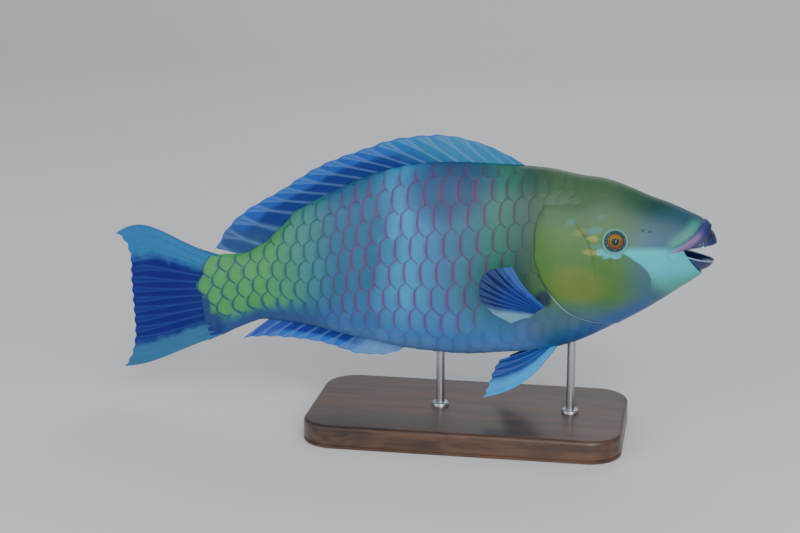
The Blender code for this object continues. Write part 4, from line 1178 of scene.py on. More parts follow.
@dataclass
class ScaleCoat:
    """Large overlapping scales in rows, each a thin plate on the skin with its free edge to the rear."""

    depth: float = 0.0009
    edge_height: float = 0.00062
    slope: float = 0.036
    thickness: float = 0.00017
    crown: float = 0.00012
    reach: float = 1.7
    lean: float = 0.13
    seed: int = 41
    pitch_points: Pairs = (
        (-0.175, 0.0110), (-0.150, 0.0106), (-0.130, 0.0096), (-0.105, 0.0088), (-0.080, 0.0080),
        (-0.060, 0.0087), (-0.040, 0.0095), (-0.015, 0.0100), (0.005, 0.0098), (0.020, 0.0088),
        (0.040, 0.0080), (0.090, 0.0072),
    )
    middle_points: Pairs = (
        (-0.170, 0.0300), (-0.157, 0.0305), (-0.130, 0.0285), (-0.107, 0.0300), (-0.072, 0.0460),
        (-0.038, 0.0611), (-0.014, 0.0655), (0.018, 0.0715), (0.045, 0.0725), (0.090, 0.0600),
    )
    spacing_points: Pairs = (
        (-0.170, 0.0092), (-0.157, 0.0094), (-0.130, 0.0103), (-0.107, 0.0112), (-0.072, 0.0135),
        (-0.039, 0.0151), (-0.015, 0.0166), (0.018, 0.0150), (0.045, 0.0152), (0.090, 0.0125),
    )
    along: tuple[float, ...] = (0.0, 0.012, 0.03, 0.06, 0.10, 0.15, 0.21, 0.29, 0.38, 0.48, 0.588, 0.72, 1.0)
    across: int = 17

    def __post_init__(self) -> None:
        """Fit the curves of the rows."""
        self.pitch = SmoothCurve(*zip(*self.pitch_points))
        self.middle = SmoothCurve(*zip(*self.middle_points))
        self.spacing = SmoothCurve(*zip(*self.spacing_points))
        self.fine_x = np.linspace(-0.175, 0.090, 1200)
        steps = np.diff(self.fine_x) / self.pitch(0.5 * (self.fine_x[1:] + self.fine_x[:-1]))
        self.fine_count = np.concatenate([[0.0], np.cumsum(steps)])

    def seats(self) -> list[Seat]:
        """Place every scale of one side.

        Returns:
            For each scale its station, its arc up from the belly, its pitch, its row spacing and its
            column and row.
        """
        found = []
        for row in range(-6, 8):
            for column in range(0, 40):
                count = column + 0.5 * (row % 2) - self.lean * row
                if not 0.0 <= count <= self.fine_count[-1]:
                    continue
                x = float(np.interp(count, self.fine_count, self.fine_x))
                spacing = float(self.spacing(x))
                arc = float(self.middle(x)) + row * spacing
                girth = float(BODY.girth(x))
                if arc < -0.2 * spacing or arc > girth + 0.2 * spacing:
                    continue
                z = float(BODY.point(x, BODY.angle_at_arc(np.array(x), np.array(arc)))[2])
                if x < float(BODY.tail(z)) - (0.0105 if 0.065 < z < 0.093 else 0.0035):
                    continue
                front = float(BODY.gill(z)) - 0.0012
                nape = float(ease((z - 0.1385) / 0.006))
                if x > front + (0.071 - front) * nape:
                    continue
                found.append((x, arc, float(self.pitch(x)), spacing, column, row))
        return found

    def calm(self, x: Array, arc: Array) -> Array:
        """How far the scales stand out: least on the breast and the nape, where they fade into the skin."""
        rise = np.cos(BODY.angle_at_arc(x, arc))
        breast = ease((x + 0.010) / 0.060) * ease((-0.05 - rise) / 0.45)
        nape = ease((x - 0.026) / 0.036)
        under_tail = ease((-0.070 - x) / 0.030) * ease((-0.35 - rise) / 0.35)
        return 1.0 - 0.62 * np.maximum(np.maximum(breast, nape), under_tail)

    def plates(self, seats: list[Seat], side: float, draw: np.random.Generator) -> Part:
        """Lay out the plates of some scales.

        Args:
            seats: their places, from seats().
            side: 1 for the left, -1 for the right.
            draw: source of the small differences between scales.

        Returns:
            The closed plates with their bake map.
        """
        s = np.array(seats)[:, :, None, None]
        x0, arc0, pitch, spacing = s[:, 0], s[:, 1], s[:, 2], s[:, 3]
        count = len(seats)
        jitter = draw.uniform(-1.0, 1.0, (count, 5))[:, :, None, None]
        x0 = x0 + 0.00028 * jitter[:, 0]
        arc0 = arc0 + 0.00030 * jitter[:, 1]
        share = np.array(self.along)[None, :, None]
        beta = np.sin(0.5 * math.pi * np.linspace(-1.0, 1.0, self.across))[None, None, :]
        bar = np.maximum(spacing - 0.5 * pitch, 0.30 * spacing)
        half = spacing - 0.5 * bar + 0.0012
        q = beta * half
        t = (np.abs(q) - 0.5 * bar) / (0.5 * pitch)
        edge = 0.5 * pitch * 0.5 * (np.sqrt(t * t + 0.025) + t)
        edge = edge + 0.00035 * (q / half) ** 2 + 0.02 * jitter[:, 2] * q
        length = self.reach * pitch
        run = share * length
        x = x0 + edge + run
        arc = arc0 + q
        angle = BODY.angle_at_arc(x, arc) * side
        level = self.edge_height - self.slope * np.minimum(run, pitch)
        level = level + self.crown * (1.0 - beta ** 2) + 0.00004 * jitter[:, 3]
        level = level - 0.00006 * ease(1.0 - run / 0.0007)
        tip = np.abs(q) - spacing + 0.5 * bar
        level = level - 0.00040 * ease((tip + 0.0013) / 0.0014) - 0.00060 * ease(tip / 0.0014)
        level = level - 0.0015 * ease((-0.1600 - x) / 0.0120)
        calm = self.calm(x0, arc0)
        level = level * calm - 0.0009 * ease((run - 0.9 * pitch) / (length - 0.9 * pitch))
        thin = self.thickness * (0.55 + 0.45 * ease(run / 0.0012)) * (0.4 + 0.6 * calm)
        shape = (count, len(self.along), self.across)
        x, angle = np.broadcast_to(x, shape), np.broadcast_to(angle, shape)
        level, thin = np.broadcast_to(level, shape), np.broadcast_to(thin, shape)
        base, normal = BODY.point(x, angle), BODY.normal(x, angle)
        outer = base + (level - self.depth)[..., None] * normal
        inner = base + (level - self.depth - thin)[..., None] * normal
        size = shape[1] * shape[2]
        points = np.concatenate([outer.reshape(count, size, 3), inner.reshape(count, size, 3)], axis=1)
        faces = self.plate_faces(shape[1], shape[2], side)
        offset = (np.arange(count) * 2 * size)[:, None, None]
        all_faces = (faces[None] + offset).reshape(-1, 4)
        values = {
            "rise": np.cos(angle), "cover": ease((x - COVER_START) / COVER_BLEND), "cheek": 0.02,
            "lip": -0.02, "eye": FAR_AWAY, "rear": run, "front": run / pitch,
            "tone": 0.5 + 0.5 * jitter[:, 4], "slant": ease((np.abs(q) - 0.5 * bar + 0.0022) / 0.0036),
        }
        doubled = {}
        for key, value in values.items():
            face = np.broadcast_to(value, shape).reshape(count, size)
            doubled[key] = np.concatenate([face, face], axis=1).ravel()
        corners = self.bake_map(np.array([(c, r) for *_, c, r in seats]), shape, faces)
        return Part(points.reshape(-1, 3), [all_faces], doubled, corners)

    def plate_faces(self, rows: int, columns: int, side: float) -> Array:
        """Faces of one closed plate."""
        faces = np.concatenate(sheet_faces(rows, columns))
        return faces if side > 0.0 else faces[:, ::-1]

    def bake_map(self, cells: Array, shape: tuple[int, int, int], faces: Array) -> Array:
        """Give each scale its own patch, where it sits on the unrolled skin."""
        low = cells.min(axis=0)
        span = cells.max(axis=0) - low + 1
        _, rows, columns = shape
        size = rows * columns
        v, u = np.meshgrid(np.linspace(0.03, 0.60, rows), np.linspace(0.04, 0.96, columns), indexing="ij")
        outer = np.stack([v, u], axis=-1).reshape(size, 2)
        inner = np.stack([0.66 + (v - 0.03) * 0.5, u], axis=-1).reshape(size, 2)
        local = np.concatenate([outer, inner])[faces]
        rim = 2 * (rows + columns - 2)
        local[-rim:] = rim_strip(rim, 0.620, 0.640)[..., ::-1]
        place = (cells - low)[:, None, None, :] + local[None]
        return (place / span).reshape(-1, 2)

    def build(self) -> list[bpy.types.Object]:
        """Build the coat, each side in a rear, a middle and a front piece."""
        draw = np.random.default_rng(self.seed)
        finish = ScaleFinish().make()
        seats = self.seats()
        made = []
        for side, word in ((-1.0, "right"), (1.0, "left")):
            for low, high, stretch, slot in (
                (-1.0, -0.095, "rear", "tail_skin"), (-0.095, -0.020, "middle", "flank_skin"),
                (-0.020, 1.0, "front", "flank_skin"),
            ):
                chosen = [seat for seat in seats if low <= seat[0] < high]
                piece = self.plates(chosen, side, draw).build(f"scales_{word}_{stretch}", finish, sharp=40.0)
                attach(piece, "root")
                made.append(piece)
        return made


# Fins


@dataclass(frozen=True)
class FinFinish:
    """Membrane and rays of a fin, in bands from its root to its margin and from its first ray to its last."""

    name: str
    inner: Colour
    outer: Colour
    ray: Colour
    first: Colour
    last: Colour
    band: Pair
    first_share: Pair
    last_share: Pair
    ray_strength: float
    edge: Colour | None = None

    def make(self) -> bpy.types.Material:
        """Make the material."""
        p = Paint(self.name, 0.5, Specular_IOR_Level=0.22)
        share, out, ray = p.attribute("share"), p.attribute("out"), p.attribute("ray")
        wave = (p.noise(160.0, 3.0) - 0.5) * 0.16
        colour = p.blend(p.step(out + wave, *self.band), self.inner, self.outer)
        across = share + wave * 0.6
        colour = p.blend(p.step(across, self.first_share[1], self.first_share[0]), colour, self.first)
        colour = p.blend(p.step(across, *self.last_share), colour, self.last)
        streak = p.noise(1.0, 3.0, p.vector(share * 260.0, out * 3.0, 0.0))
        colour = p.blend(ray * self.ray_strength, colour, self.ray)
        if self.edge is not None:
            colour = p.blend(p.step(out, 0.95, 0.985), colour, self.edge)
        colour = p.scaled(colour, 0.72 + streak * 0.42 + p.noise(300.0, 3.0) * 0.14)
        p.feed("Base Color", colour)
        joints = p.math("SINE", out * 420.0) * 0.5 + 0.5
        p.bump(streak * 0.5 + joints * ray * 0.3 + p.noise(900.0) * 0.3, 0.00006)
        return p.material


@dataclass
class RayedFin:
    """A thin webbed fin whose rays branch toward the margin."""

    name: str = "fin"
    node: str = "fin"
    rays: int = 12
    rows: int = 44
    per_ray: int = 12
    notch: float = 0.05
    root_pad: float = 0.0
    web_root: float = 0.00030
    web_edge: float = 0.00010
    ray_root: float = 0.00055
    ray_edge: float = 0.00012
    branching: float = 0.42
    slot: str = "fin"

    def root(self, share: Array) -> Array:
        """Where the rays start."""
        raise NotImplementedError

    def margin(self, share: Array) -> Array:
        """Where the rays end."""
        raise NotImplementedError

    def bow(self, share: Array, out: Array) -> Array:
        """How the rays bow between, from none at the root."""
        return np.zeros((*np.broadcast_shapes(share.shape, out.shape), 3))

    def finish(self) -> bpy.types.Material:
        """The fin's finish."""
        raise NotImplementedError

    def ridge(self, share: Array, out: Array) -> Array:
        """Height of the rays from 0 to 1, each of which parts in two and then in four.

        Args:
            share: place across the fin, 0 at its first ray and 1 at its last.
            out: place from the root to the margin.

        Returns:
            The height.
        """
        place = share * (self.rays - 1)
        away = place - np.round(place)
        first = 0.20 * ease((out - self.branching) / (1.0 - self.branching))
        second = 0.09 * ease((out - 0.72) / 0.28)
        width = 0.115 - 0.05 * out
        height = np.zeros(np.broadcast_shapes(share.shape, out.shape))
        for way in (-1.0, 1.0):
            for twig in (-1.0, 1.0):
                height = np.maximum(height, bell(away - way * first - twig * second, width))
        return height

    def lay(self) -> Part:
        """Lay out the fin as one thin closed sheet."""
        share = np.linspace(0.0, 1.0, (self.rays - 1) * self.per_ray + 1)[:, None]
        out = np.linspace(0.0, 1.0, self.rows)[None, :]
        place = share * (self.rays - 1)
        dip = 0.5 - 0.5 * np.cos(2.0 * math.pi * place)
        reach = out * (1.0 - self.notch * dip)
        start = self.root(share[:, 0])[:, None, :]
        end = self.margin(share[:, 0])[:, None, :]
        grid = start + (end - start) * reach[..., None] + self.bow(share, reach)
        normal = unit(np.cross(np.gradient(grid, axis=0), np.gradient(grid, axis=1)))
        ridge = self.ridge(share, out)
        half = self.web_root + (self.web_edge - self.web_root) * out
        half = half + ridge * (self.ray_root + (self.ray_edge - self.ray_root) * out ** 0.7)
        half = half + self.root_pad * (1.0 - ease(out / 0.3))
        offset = half[..., None] * normal
        both = np.broadcast_shapes(share.shape, out.shape)
        values = {"share": np.broadcast_to(share, both), "out": np.broadcast_to(out, both), "ray": ridge}
        return sheet_part(grid + offset, grid - offset, values)

    def build(self) -> list[bpy.types.Object]:
        """Build the fin in place of its node."""
        piece = self.lay().build(self.name, self.finish(), sharp=60.0)
        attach(piece, "root")
        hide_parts(self.node)
        return [piece]


def on_middle_plane(points: Sequence[Pair], share: Array) -> Array:
    """Walk a side-view line and keep to the bent middle plane."""
    side_view = path(points)(share)
    return np.stack([side_view[..., 0], BODY.bend(side_view[..., 0]), side_view[..., 1]], axis=-1)


@dataclass
class DorsalFin(RayedFin):
    """The long fin of the back, half folded, its rays leaning far to the rear."""

    name: str = "dorsal_fin_webbed"
    node: str = "dorsal_fin"
    rays: int = 19
    notch: float = 0.03
    ray_root: float = 0.00040
    root_x: Pair = (0.0360, -0.1385)
    sink: float = 0.0026
    crowding: float = 1.14
    sway: float = 0.0012
    margin_line: Pairs = (
        (0.0250, 0.1690), (0.0060, 0.1768), (-0.0180, 0.1810), (-0.0420, 0.1785), (-0.0660, 0.1705),
        (-0.0900, 0.1605), (-0.1150, 0.1440), (-0.1400, 0.1280), (-0.1500, 0.1180), (-0.1575, 0.1050),
    )

    def root(self, share: Array) -> Array:
        """Sunk a little under the back."""
        x = self.root_x[0] + (self.root_x[1] - self.root_x[0]) * share ** self.crowding
        return BODY.raised(x, np.zeros_like(x), np.full_like(x, -self.sink))

    def margin(self, share: Array) -> Array:
        """The fin's upper edge."""
        return on_middle_plane(self.margin_line, share)

    def bow(self, share: Array, out: Array) -> Array:
        """A light sway to either side."""
        sway = self.sway * out * np.sin(3.0 * math.pi * share)
        return np.stack([np.zeros_like(sway), sway, np.zeros_like(sway)], axis=-1)

    def finish(self) -> bpy.types.Material:
        """Royal blue along the back, paler outward, with a fine violet edge."""
        return FinFinish(
            "dorsal fin web", inner=tint(3, 37, 112), outer=tint(14, 74, 160),
            ray=tint(112, 160, 196), first=tint(33, 111, 155), last=tint(34, 66, 118),
            band=(0.50, 0.72), first_share=(0.22, 0.50), last_share=(0.84, 0.97),
            edge=tint(50, 90, 176), ray_strength=0.30,
        ).make()


@dataclass
class AnalFin(RayedFin):
    """The low fin under the rear of the belly."""

    name: str = "anal_fin_webbed"
    node: str = "anal_fin"
    rays: int = 12
    notch: float = 0.045
    root_x: Pair = (-0.0360, -0.1215)
    sink: float = 0.0026
    margin_line: Pairs = (
        (-0.0430, 0.0468), (-0.0540, 0.0440), (-0.0670, 0.0438), (-0.0790, 0.0468), (-0.0920, 0.0500),
        (-0.1050, 0.0512), (-0.1180, 0.0515), (-0.1300, 0.0508), (-0.1410, 0.0488),
    )

    def root(self, share: Array) -> Array:
        """Sunk a little in the belly."""
        x = self.root_x[0] + (self.root_x[1] - self.root_x[0]) * share
        return BODY.raised(x, np.full_like(x, math.pi), np.full_like(x, -self.sink))

    def margin(self, share: Array) -> Array:
        """The fin's lower edge."""
        return on_middle_plane(self.margin_line, share)

    def finish(self) -> bpy.types.Material:
        """Violet blue along the belly and paler outward."""
        return FinFinish(
            "anal fin web", inner=tint(3, 34, 125), outer=tint(19, 92, 182),
            ray=tint(112, 152, 200), first=tint(86, 136, 190), last=tint(40, 70, 150),
            band=(0.50, 0.75), first_share=(0.22, 0.40), last_share=(0.75, 0.95),
            edge=tint(50, 92, 168), ray_strength=0.35,
        ).make()


@dataclass
class CaudalFin(RayedFin):
    """The tail fin, its upper lobe curled toward the right side."""

    name: str = "caudal_fin_webbed"
    node: str = "caudal_fin"
    rays: int = 15
    rows: int = 56
    notch: float = 0.015
    branching: float = 0.30
    web_root: float = 0.00040
    root_pad: float = 0.0007
    top_bow: float = 0.0090
    foot_bow: float = 0.0026
    bow_power: float = 2.0
    bow_reach: float = 2.6
    curl: float = 0.0045
    root_line: Pairs = (
        (-0.1535, 0.1005), (-0.1580, 0.0900), (-0.1600, 0.0740), (-0.1580, 0.0600), (-0.1535, 0.0505),
    )
    margin_line: Pairs = (
        (-0.2235, 0.1100), (-0.2170, 0.1035), (-0.2148, 0.0920), (-0.2152, 0.0790), (-0.2148, 0.0660),
        (-0.2142, 0.0465), (-0.2165, 0.0330), (-0.2225, 0.0217),
    )

    def root(self, share: Array) -> Array:
        """Inside the tail stalk."""
        return on_middle_plane(self.root_line, share)

    def margin(self, share: Array) -> Array:
        """The fin's rear edge."""
        points = on_middle_plane(self.margin_line, share)
        points[..., 1] -= self.curl * (1.0 - share) ** 3
        return points

    def bow(self, share: Array, out: Array) -> Array:
        """Bow of the outer rays, away from the middle one."""
        lift = self.top_bow * np.maximum(0.0, 1.0 - self.bow_reach * share)
        drop = self.foot_bow * np.maximum(0.0, 1.0 - self.bow_reach * (1.0 - share))
        rise = np.sin(math.pi * out ** self.bow_power) * (lift - drop)
        return np.stack([np.zeros_like(rise), np.zeros_like(rise), rise], axis=-1)

    def finish(self) -> bpy.types.Material:
        """Deep royal blue between pale turquoise upper and lower bands."""
        return FinFinish(
            "tail fin web", inner=tint(2, 29, 103), outer=tint(3, 6, 106),
            ray=tint(50, 88, 160), first=tint(41, 107, 160), last=tint(45, 100, 138),
            band=(0.20, 0.45), first_share=(0.16, 0.26), last_share=(0.78, 0.86), ray_strength=0.30,
        ).make()


@dataclass
class PairedFin(RayedFin):
    """A fin of one side, its lines given for the left side."""

    side: float = -1.0
    kind: str = "paired"
    sink: float = 0.0024

    def __post_init__(self) -> None:
        """Name the fin after its side."""
        self.node = f"{self.kind}_fin_{side_word(self.side)}"
        self.name = f"{self.node}_webbed"


@dataclass
class PectoralFin(PairedFin):
    """A pectoral fin, spread outward and upward from behind the gill cover."""

    kind: str = "pectoral"
    rays: int = 14
    per_ray: int = 10
    notch: float = 0.015
    ray_root: float = 0.00018
    root_pad: float = 0.0009
    root_ends: tuple[Pair, Pair] = ((0.0475, 0.0852), (0.0385, 0.0785))
    hollow: Triple = (-0.0018, -0.0024, 0.0)
    margin_line: Triples = (
        (0.0305, 0.0465, 0.1155), (0.0215, 0.0560, 0.1165), (0.0140, 0.0585, 0.1105),
        (0.0130, 0.0555, 0.1010), (0.0190, 0.0480, 0.0890), (0.0300, 0.0370, 0.0790),
    )

    def root(self, share: Array) -> Array:
        """Sunk in the flank."""
        (x0, z0), (x1, z1) = self.root_ends
        x = x0 + (x1 - x0) * share
        angle = BODY.angle_at_height(x, z0 + (z1 - z0) * share) * self.side
        return BODY.raised(x, angle, np.full_like(x, -self.sink))

    def margin(self, share: Array) -> Array:
        """The fin's outer edge."""
        return path(self.margin_line)(share) * np.array([1.0, self.side, 1.0])

    def bow(self, share: Array, out: Array) -> Array:
        """The fin's hollow, which opens forward."""
        amount = np.sin(math.pi * out) * np.ones_like(share)
        way = np.array(self.hollow) * np.array([1.0, -self.side, 1.0])
        return amount[..., None] * way

    def finish(self) -> bpy.types.Material:
        """Royal blue with a brighter leading edge and pale lower rays."""
        return FinFinish(
            "pectoral fin web", inner=tint(16, 42, 126), outer=tint(5, 19, 86),
            ray=tint(104, 144, 186), first=tint(44, 84, 168), last=tint(111, 162, 189),
            band=(0.4, 0.8), first_share=(0.04, 0.20), last_share=(0.58, 0.80), ray_strength=0.30,
        ).make()


@dataclass
class PelvicFin(PairedFin):
    """A pelvic fin, trailing down and back from the belly."""

    kind: str = "pelvic"
    rays: int = 6
    per_ray: int = 18
    notch: float = 0.025
    ray_root: float = 0.00032
    root_pad: float = 0.0004
    slot: str = "pale_fin"
    root_ends: tuple[Pair, Pair] = ((0.0560, 0.0075), (0.0475, 0.0068))
    lead: Triple = (0.0028, -0.0035, -0.0056)
    near_line: Triples = (
        (0.0110, 0.0160, 0.0255), (0.0128, 0.0155, 0.0300), (0.0150, 0.0140, 0.0370),
        (0.0172, 0.0115, 0.0430), (0.0200, 0.0085, 0.0475),
    )
    far_line: Triples = (
        (0.0150, 0.0200, 0.0245), (0.0160, 0.0195, 0.0280), (0.0180, 0.0180, 0.0330),
        (0.0210, 0.0150, 0.0390), (0.0240, 0.0110, 0.0445),
    )

    def root(self, share: Array) -> Array:
        """Sunk in the belly."""
        (x0, y0), (x1, y1) = self.root_ends
        x = x0 + (x1 - x0) * share
        half_width = BODY.plan(x)[..., 2]
        y = y0 + (y1 - y0) * share
        angle = (math.pi - np.arcsin((y / half_width) ** (1.0 / BODY.belly_roundness))) * self.side
        return BODY.raised(x, angle, np.full_like(x, -self.sink))

    def margin(self, share: Array) -> Array:
        """The fin's outer edge, the left one's spread a little wider."""
        line = self.far_line if self.side > 0.0 else self.near_line
        return path(line)(share) * np.array([1.0, self.side, 1.0])

    def bow(self, share: Array, out: Array) -> Array:
        """Forward bow of the leading rays."""
        amount = np.sin(math.pi * out) * (1.0 - share)
        return amount[..., None] * (np.array(self.lead) * np.array([1.0, -self.side, 1.0]))

    def finish(self) -> bpy.types.Material:
        """Pale turquoise leading half and violet blue trailing half."""
        return FinFinish(
            "pelvic fin web", inner=tint(6, 57, 133), outer=tint(5, 47, 124),
            ray=tint(104, 150, 200), first=tint(33, 145, 210), last=tint(4, 47, 120),
            band=(0.3, 0.7), first_share=(0.28, 0.52), last_share=(0.7, 0.9), ray_strength=0.25,
        ).make()


# Beak


@dataclass(frozen=True)
class BeakFinish:
    """Dark blue tooth plate with a pale cutting edge."""

    plate: Colour = tint(6, 30, 82)
    deep: Colour = tint(3, 14, 48)
    edge: Colour = tint(120, 150, 178)

    def make(self) -> bpy.types.Material:
        """Make the material."""
        p = Paint("tooth plate", 0.28, Coat_Weight=0.5, Coat_Roughness=0.12)
        near = p.attribute("edge")
        wave = (p.noise(700.0, 2.0) - 0.5) * 0.0006
        colour = p.blend(p.step(near, 0.002, 0.008), self.plate, self.deep)
        colour = p.blend(p.step(near + wave, 0.00085, 0.00030) * 0.9, colour, self.edge)
        p.feed("Base Color", p.scaled(colour, 0.80 + p.noise(900.0, 3.0) * 0.40))
        p.bump(p.noise(1300.0, 2.0) * 0.5 + p.cells(1300.0) * 0.5, 0.00016)
        return p.material


@dataclass(frozen=True)
class ToothFinish:
    """White enamel of the small side teeth."""

    enamel: Colour = tint(232, 236, 228)
    root: Colour = tint(176, 190, 190)

    def make(self) -> bpy.types.Material:
        """Make the material."""
        p = Paint("white tooth", 0.22, Coat_Weight=0.5, Coat_Roughness=0.1)
        p.feed("Base Color", p.blend(p.noise(1500.0, 2.0), self.enamel, self.root))
        p.bump(p.noise(2500.0, 2.0), 0.00005)
        return p.material


class Jaw(Enum):
    """The two plates of the beak."""

    UPPER = 1.0
    LOWER = -1.0


@dataclass
class Beak:
    """Two half domes of fused teeth that share a centre, with scalloped cutting edges."""

    centre: Triple = (0.1240, 0.0, 0.1196)
    length: float = 0.0210
    half_width: float = 0.0094
    upper_height: float = 0.0158
    lower_height: float = 0.0146
    squareness: float = 2.6
    wall: float = 0.0026
    edge_wall: float = 0.0006
    upper_rise: float = 0.0030
    lower_drop: float = 0.0066
    corner_step: float = 0.0004
    upper_power: float = 1.2
    lower_power: float = 0.36
    last_tilt: float = 1.15
    across: int = 168
    down: int = 44
    cusps: int = 26
    cusp_height: float = 0.00010

    def dome(self, plan: Array, tilt: Array, inset: Array) -> Array:
        """Points on the dome, from angles in plan and up, and a depth inside its face."""
        power = 2.0 / self.squareness
        height = np.where(tilt >= 0.0, self.upper_height, self.lower_height)
        level = np.abs(np.cos(tilt)) ** power
        along = np.sign(np.cos(plan)) * np.abs(np.cos(plan)) ** power
        aside = np.sign(np.sin(plan)) * np.abs(np.sin(plan)) ** power
        upward = np.sign(np.sin(tilt)) * np.abs(np.sin(tilt)) ** power
        return np.stack([
            self.centre[0] + (self.length - inset) * along * level,
            self.centre[1] + (self.half_width - inset) * aside * level,
            self.centre[2] + (height - inset) * upward,
        ], axis=-1)

    def edge_tilt(self, plan: Array, jaw: Jaw) -> Array:
        """Tilt of the cutting edge with its row of small cusps."""
        front = np.maximum(0.0, np.cos(plan))
        cusp = self.cusp_height * np.abs(np.sin(plan * self.cusps)) * ease(front / 0.3)
        if jaw is Jaw.UPPER:
            rise = self.corner_step + self.upper_rise * front ** self.upper_power + cusp
            return np.arcsin((rise / self.upper_height) ** (self.squareness / 2.0))
        drop = self.corner_step + self.lower_drop * front ** self.lower_power + cusp
        return -np.arcsin((drop / self.lower_height) ** (self.squareness / 2.0))

    def plate(self, jaw: Jaw) -> Part:
        """Lay out one plate."""
        plan = (np.linspace(-1.0, 1.0, self.across + 1) * 0.5 * math.pi)[:, None]
        share = (np.linspace(0.0, 1.0, self.down + 1) ** 1.5)[None, :]
        start = self.edge_tilt(plan, jaw)
        tilt = start + (jaw.value * self.last_tilt - start) * share
        wall = self.edge_wall + (self.wall - self.edge_wall) * ease(2.2 * share)
        plan = np.broadcast_to(plan, tilt.shape)
        inset = 0.00014 * bell(share, 0.035)
        flute = 0.00006 * np.abs(np.sin(plan * self.cusps)) * bell(share, 0.35)
        outer = self.dome(plan, tilt, inset + flute)
        inner = self.dome(plan, tilt, np.broadcast_to(wall, tilt.shape))
        away = np.linalg.norm(outer - outer[:, :1], axis=-1)
        part = sheet_part(outer, inner, {"edge": away})
        if jaw is Jaw.UPPER:
            part.faces = [f[:, ::-1] for f in part.faces]
            part.corners = part.corners.reshape(-1, 4, 2)[:, ::-1].reshape(-1, 2)
        return part

    def tooth(self, plan: float, tilt: float, length: float, radius: float) -> Part:
        """A small blunt side tooth that leans out of the upper plate."""
        rows, around = 10, 16
        root = self.dome(np.array(plan), np.array(tilt), np.array(0.0003))
        tip = root + np.array([0.25, math.copysign(0.35, plan), -0.9]) * length
        axis = unit(tip - root)
        sideways = unit(np.cross(axis, np.array([1.0, 0.0, 0.0])))
        forward = np.cross(sideways, axis)
        share = np.linspace(0.0, 1.0, rows)[:, None]
        turn = np.linspace(0.0, 2.0 * math.pi, around, endpoint=False)[None, :]
        width = radius * np.sqrt(np.maximum(1.0 - share ** 2.2, 0.0004))
        spine = root + (tip - root) * share[..., None]
        ring = np.cos(turn)[..., None] * sideways + np.sin(turn)[..., None] * forward
        points = (spine + width[..., None] * ring).reshape(-1, 3)
        return Part(points, tube_faces(rows, around))

    def build(self) -> list[bpy.types.Object]:
        """Build both plates and the small white teeth at the corners of the upper one."""
        finish = BeakFinish().make()
        made = []
        for jaw, node in ((Jaw.UPPER, "upper_beak"), (Jaw.LOWER, "lower_beak")):
            piece = self.plate(jaw).build(f"{node}_plate", finish, sharp=55.0)
            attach(piece, "root")
            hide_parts(node)
            made.append(piece)
        enamel = ToothFinish().make()
        for side, word in ((-1.0, "right"), (1.0, "left")):
            for number, plan in enumerate((1.02, 0.82)):
                part = self.tooth(side * plan, 0.10, 0.0017, 0.00062)
                piece = part.build(f"side_tooth_{word}_{number + 1}", enamel)
                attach(piece, "root")
                made.append(piece)
        return made


# Eyes


@dataclass(frozen=True)
class IrisFinish:
    """Orange iris round a dark blue-green pupil, ringed by dark blue-grey."""

    pupil: Colour = tint(30, 52, 66)
    pupil_rim: Colour = tint(44, 24, 18)
    gold: Colour = tint(150, 112, 34)
    orange: Colour = tint(118, 72, 26)
    brown: Colour = tint(70, 42, 44)
    ring: Colour = tint(40, 74, 86)
    white: Colour = tint(44, 78, 84)

    def make(self) -> bpy.types.Material:
        """Make the material."""
        p = Paint("iris", 0.45, Specular_IOR_Level=0.12)
        away = p.attribute("away")
        turn = p.attribute("turn")
        streak = p.noise(1.0, 3.0, p.vector(turn * 26.0, away * 420.0, 0.0))
        colour = p.ramp(away + (streak - 0.5) * 0.0006, [
            (0.0, self.pupil), (0.00185, self.pupil), (0.00210, self.pupil_rim), (0.00245, self.gold),
            (0.00310, self.orange), (0.00400, self.orange), (0.00445, self.brown), (0.00490, self.ring),
            (0.00600, self.white),
        ], 0.0, 0.0064)
        high = p.attribute("high")
        iris = p.step(away, 0.0020, 0.0025) * p.step(away, 0.0045, 0.0040)
        colour = p.blend(iris * p.step(high, -0.1, 0.9) * 0.55, colour, self.gold)
        colour = p.blend(iris * p.step(high, -0.2, -0.9) * 0.45, colour, self.brown)
        p.feed("Base Color", p.scaled(colour, 0.72 + streak * 0.56))
        p.bump(streak, 0.00010)
        return p.material


@dataclass(frozen=True)
class CorneaFinish:
    """Clear wet film that only shines."""

    def make(self) -> bpy.types.Material:
        """Make the material."""
        p = Paint("clear cornea", 0.04, Metallic=1.0, Alpha=0.010, Base_Color=(1.0, 1.0, 1.0, 1.0))
        p.bump(p.noise(60.0, 1.0), 0.00002)
        return p.material


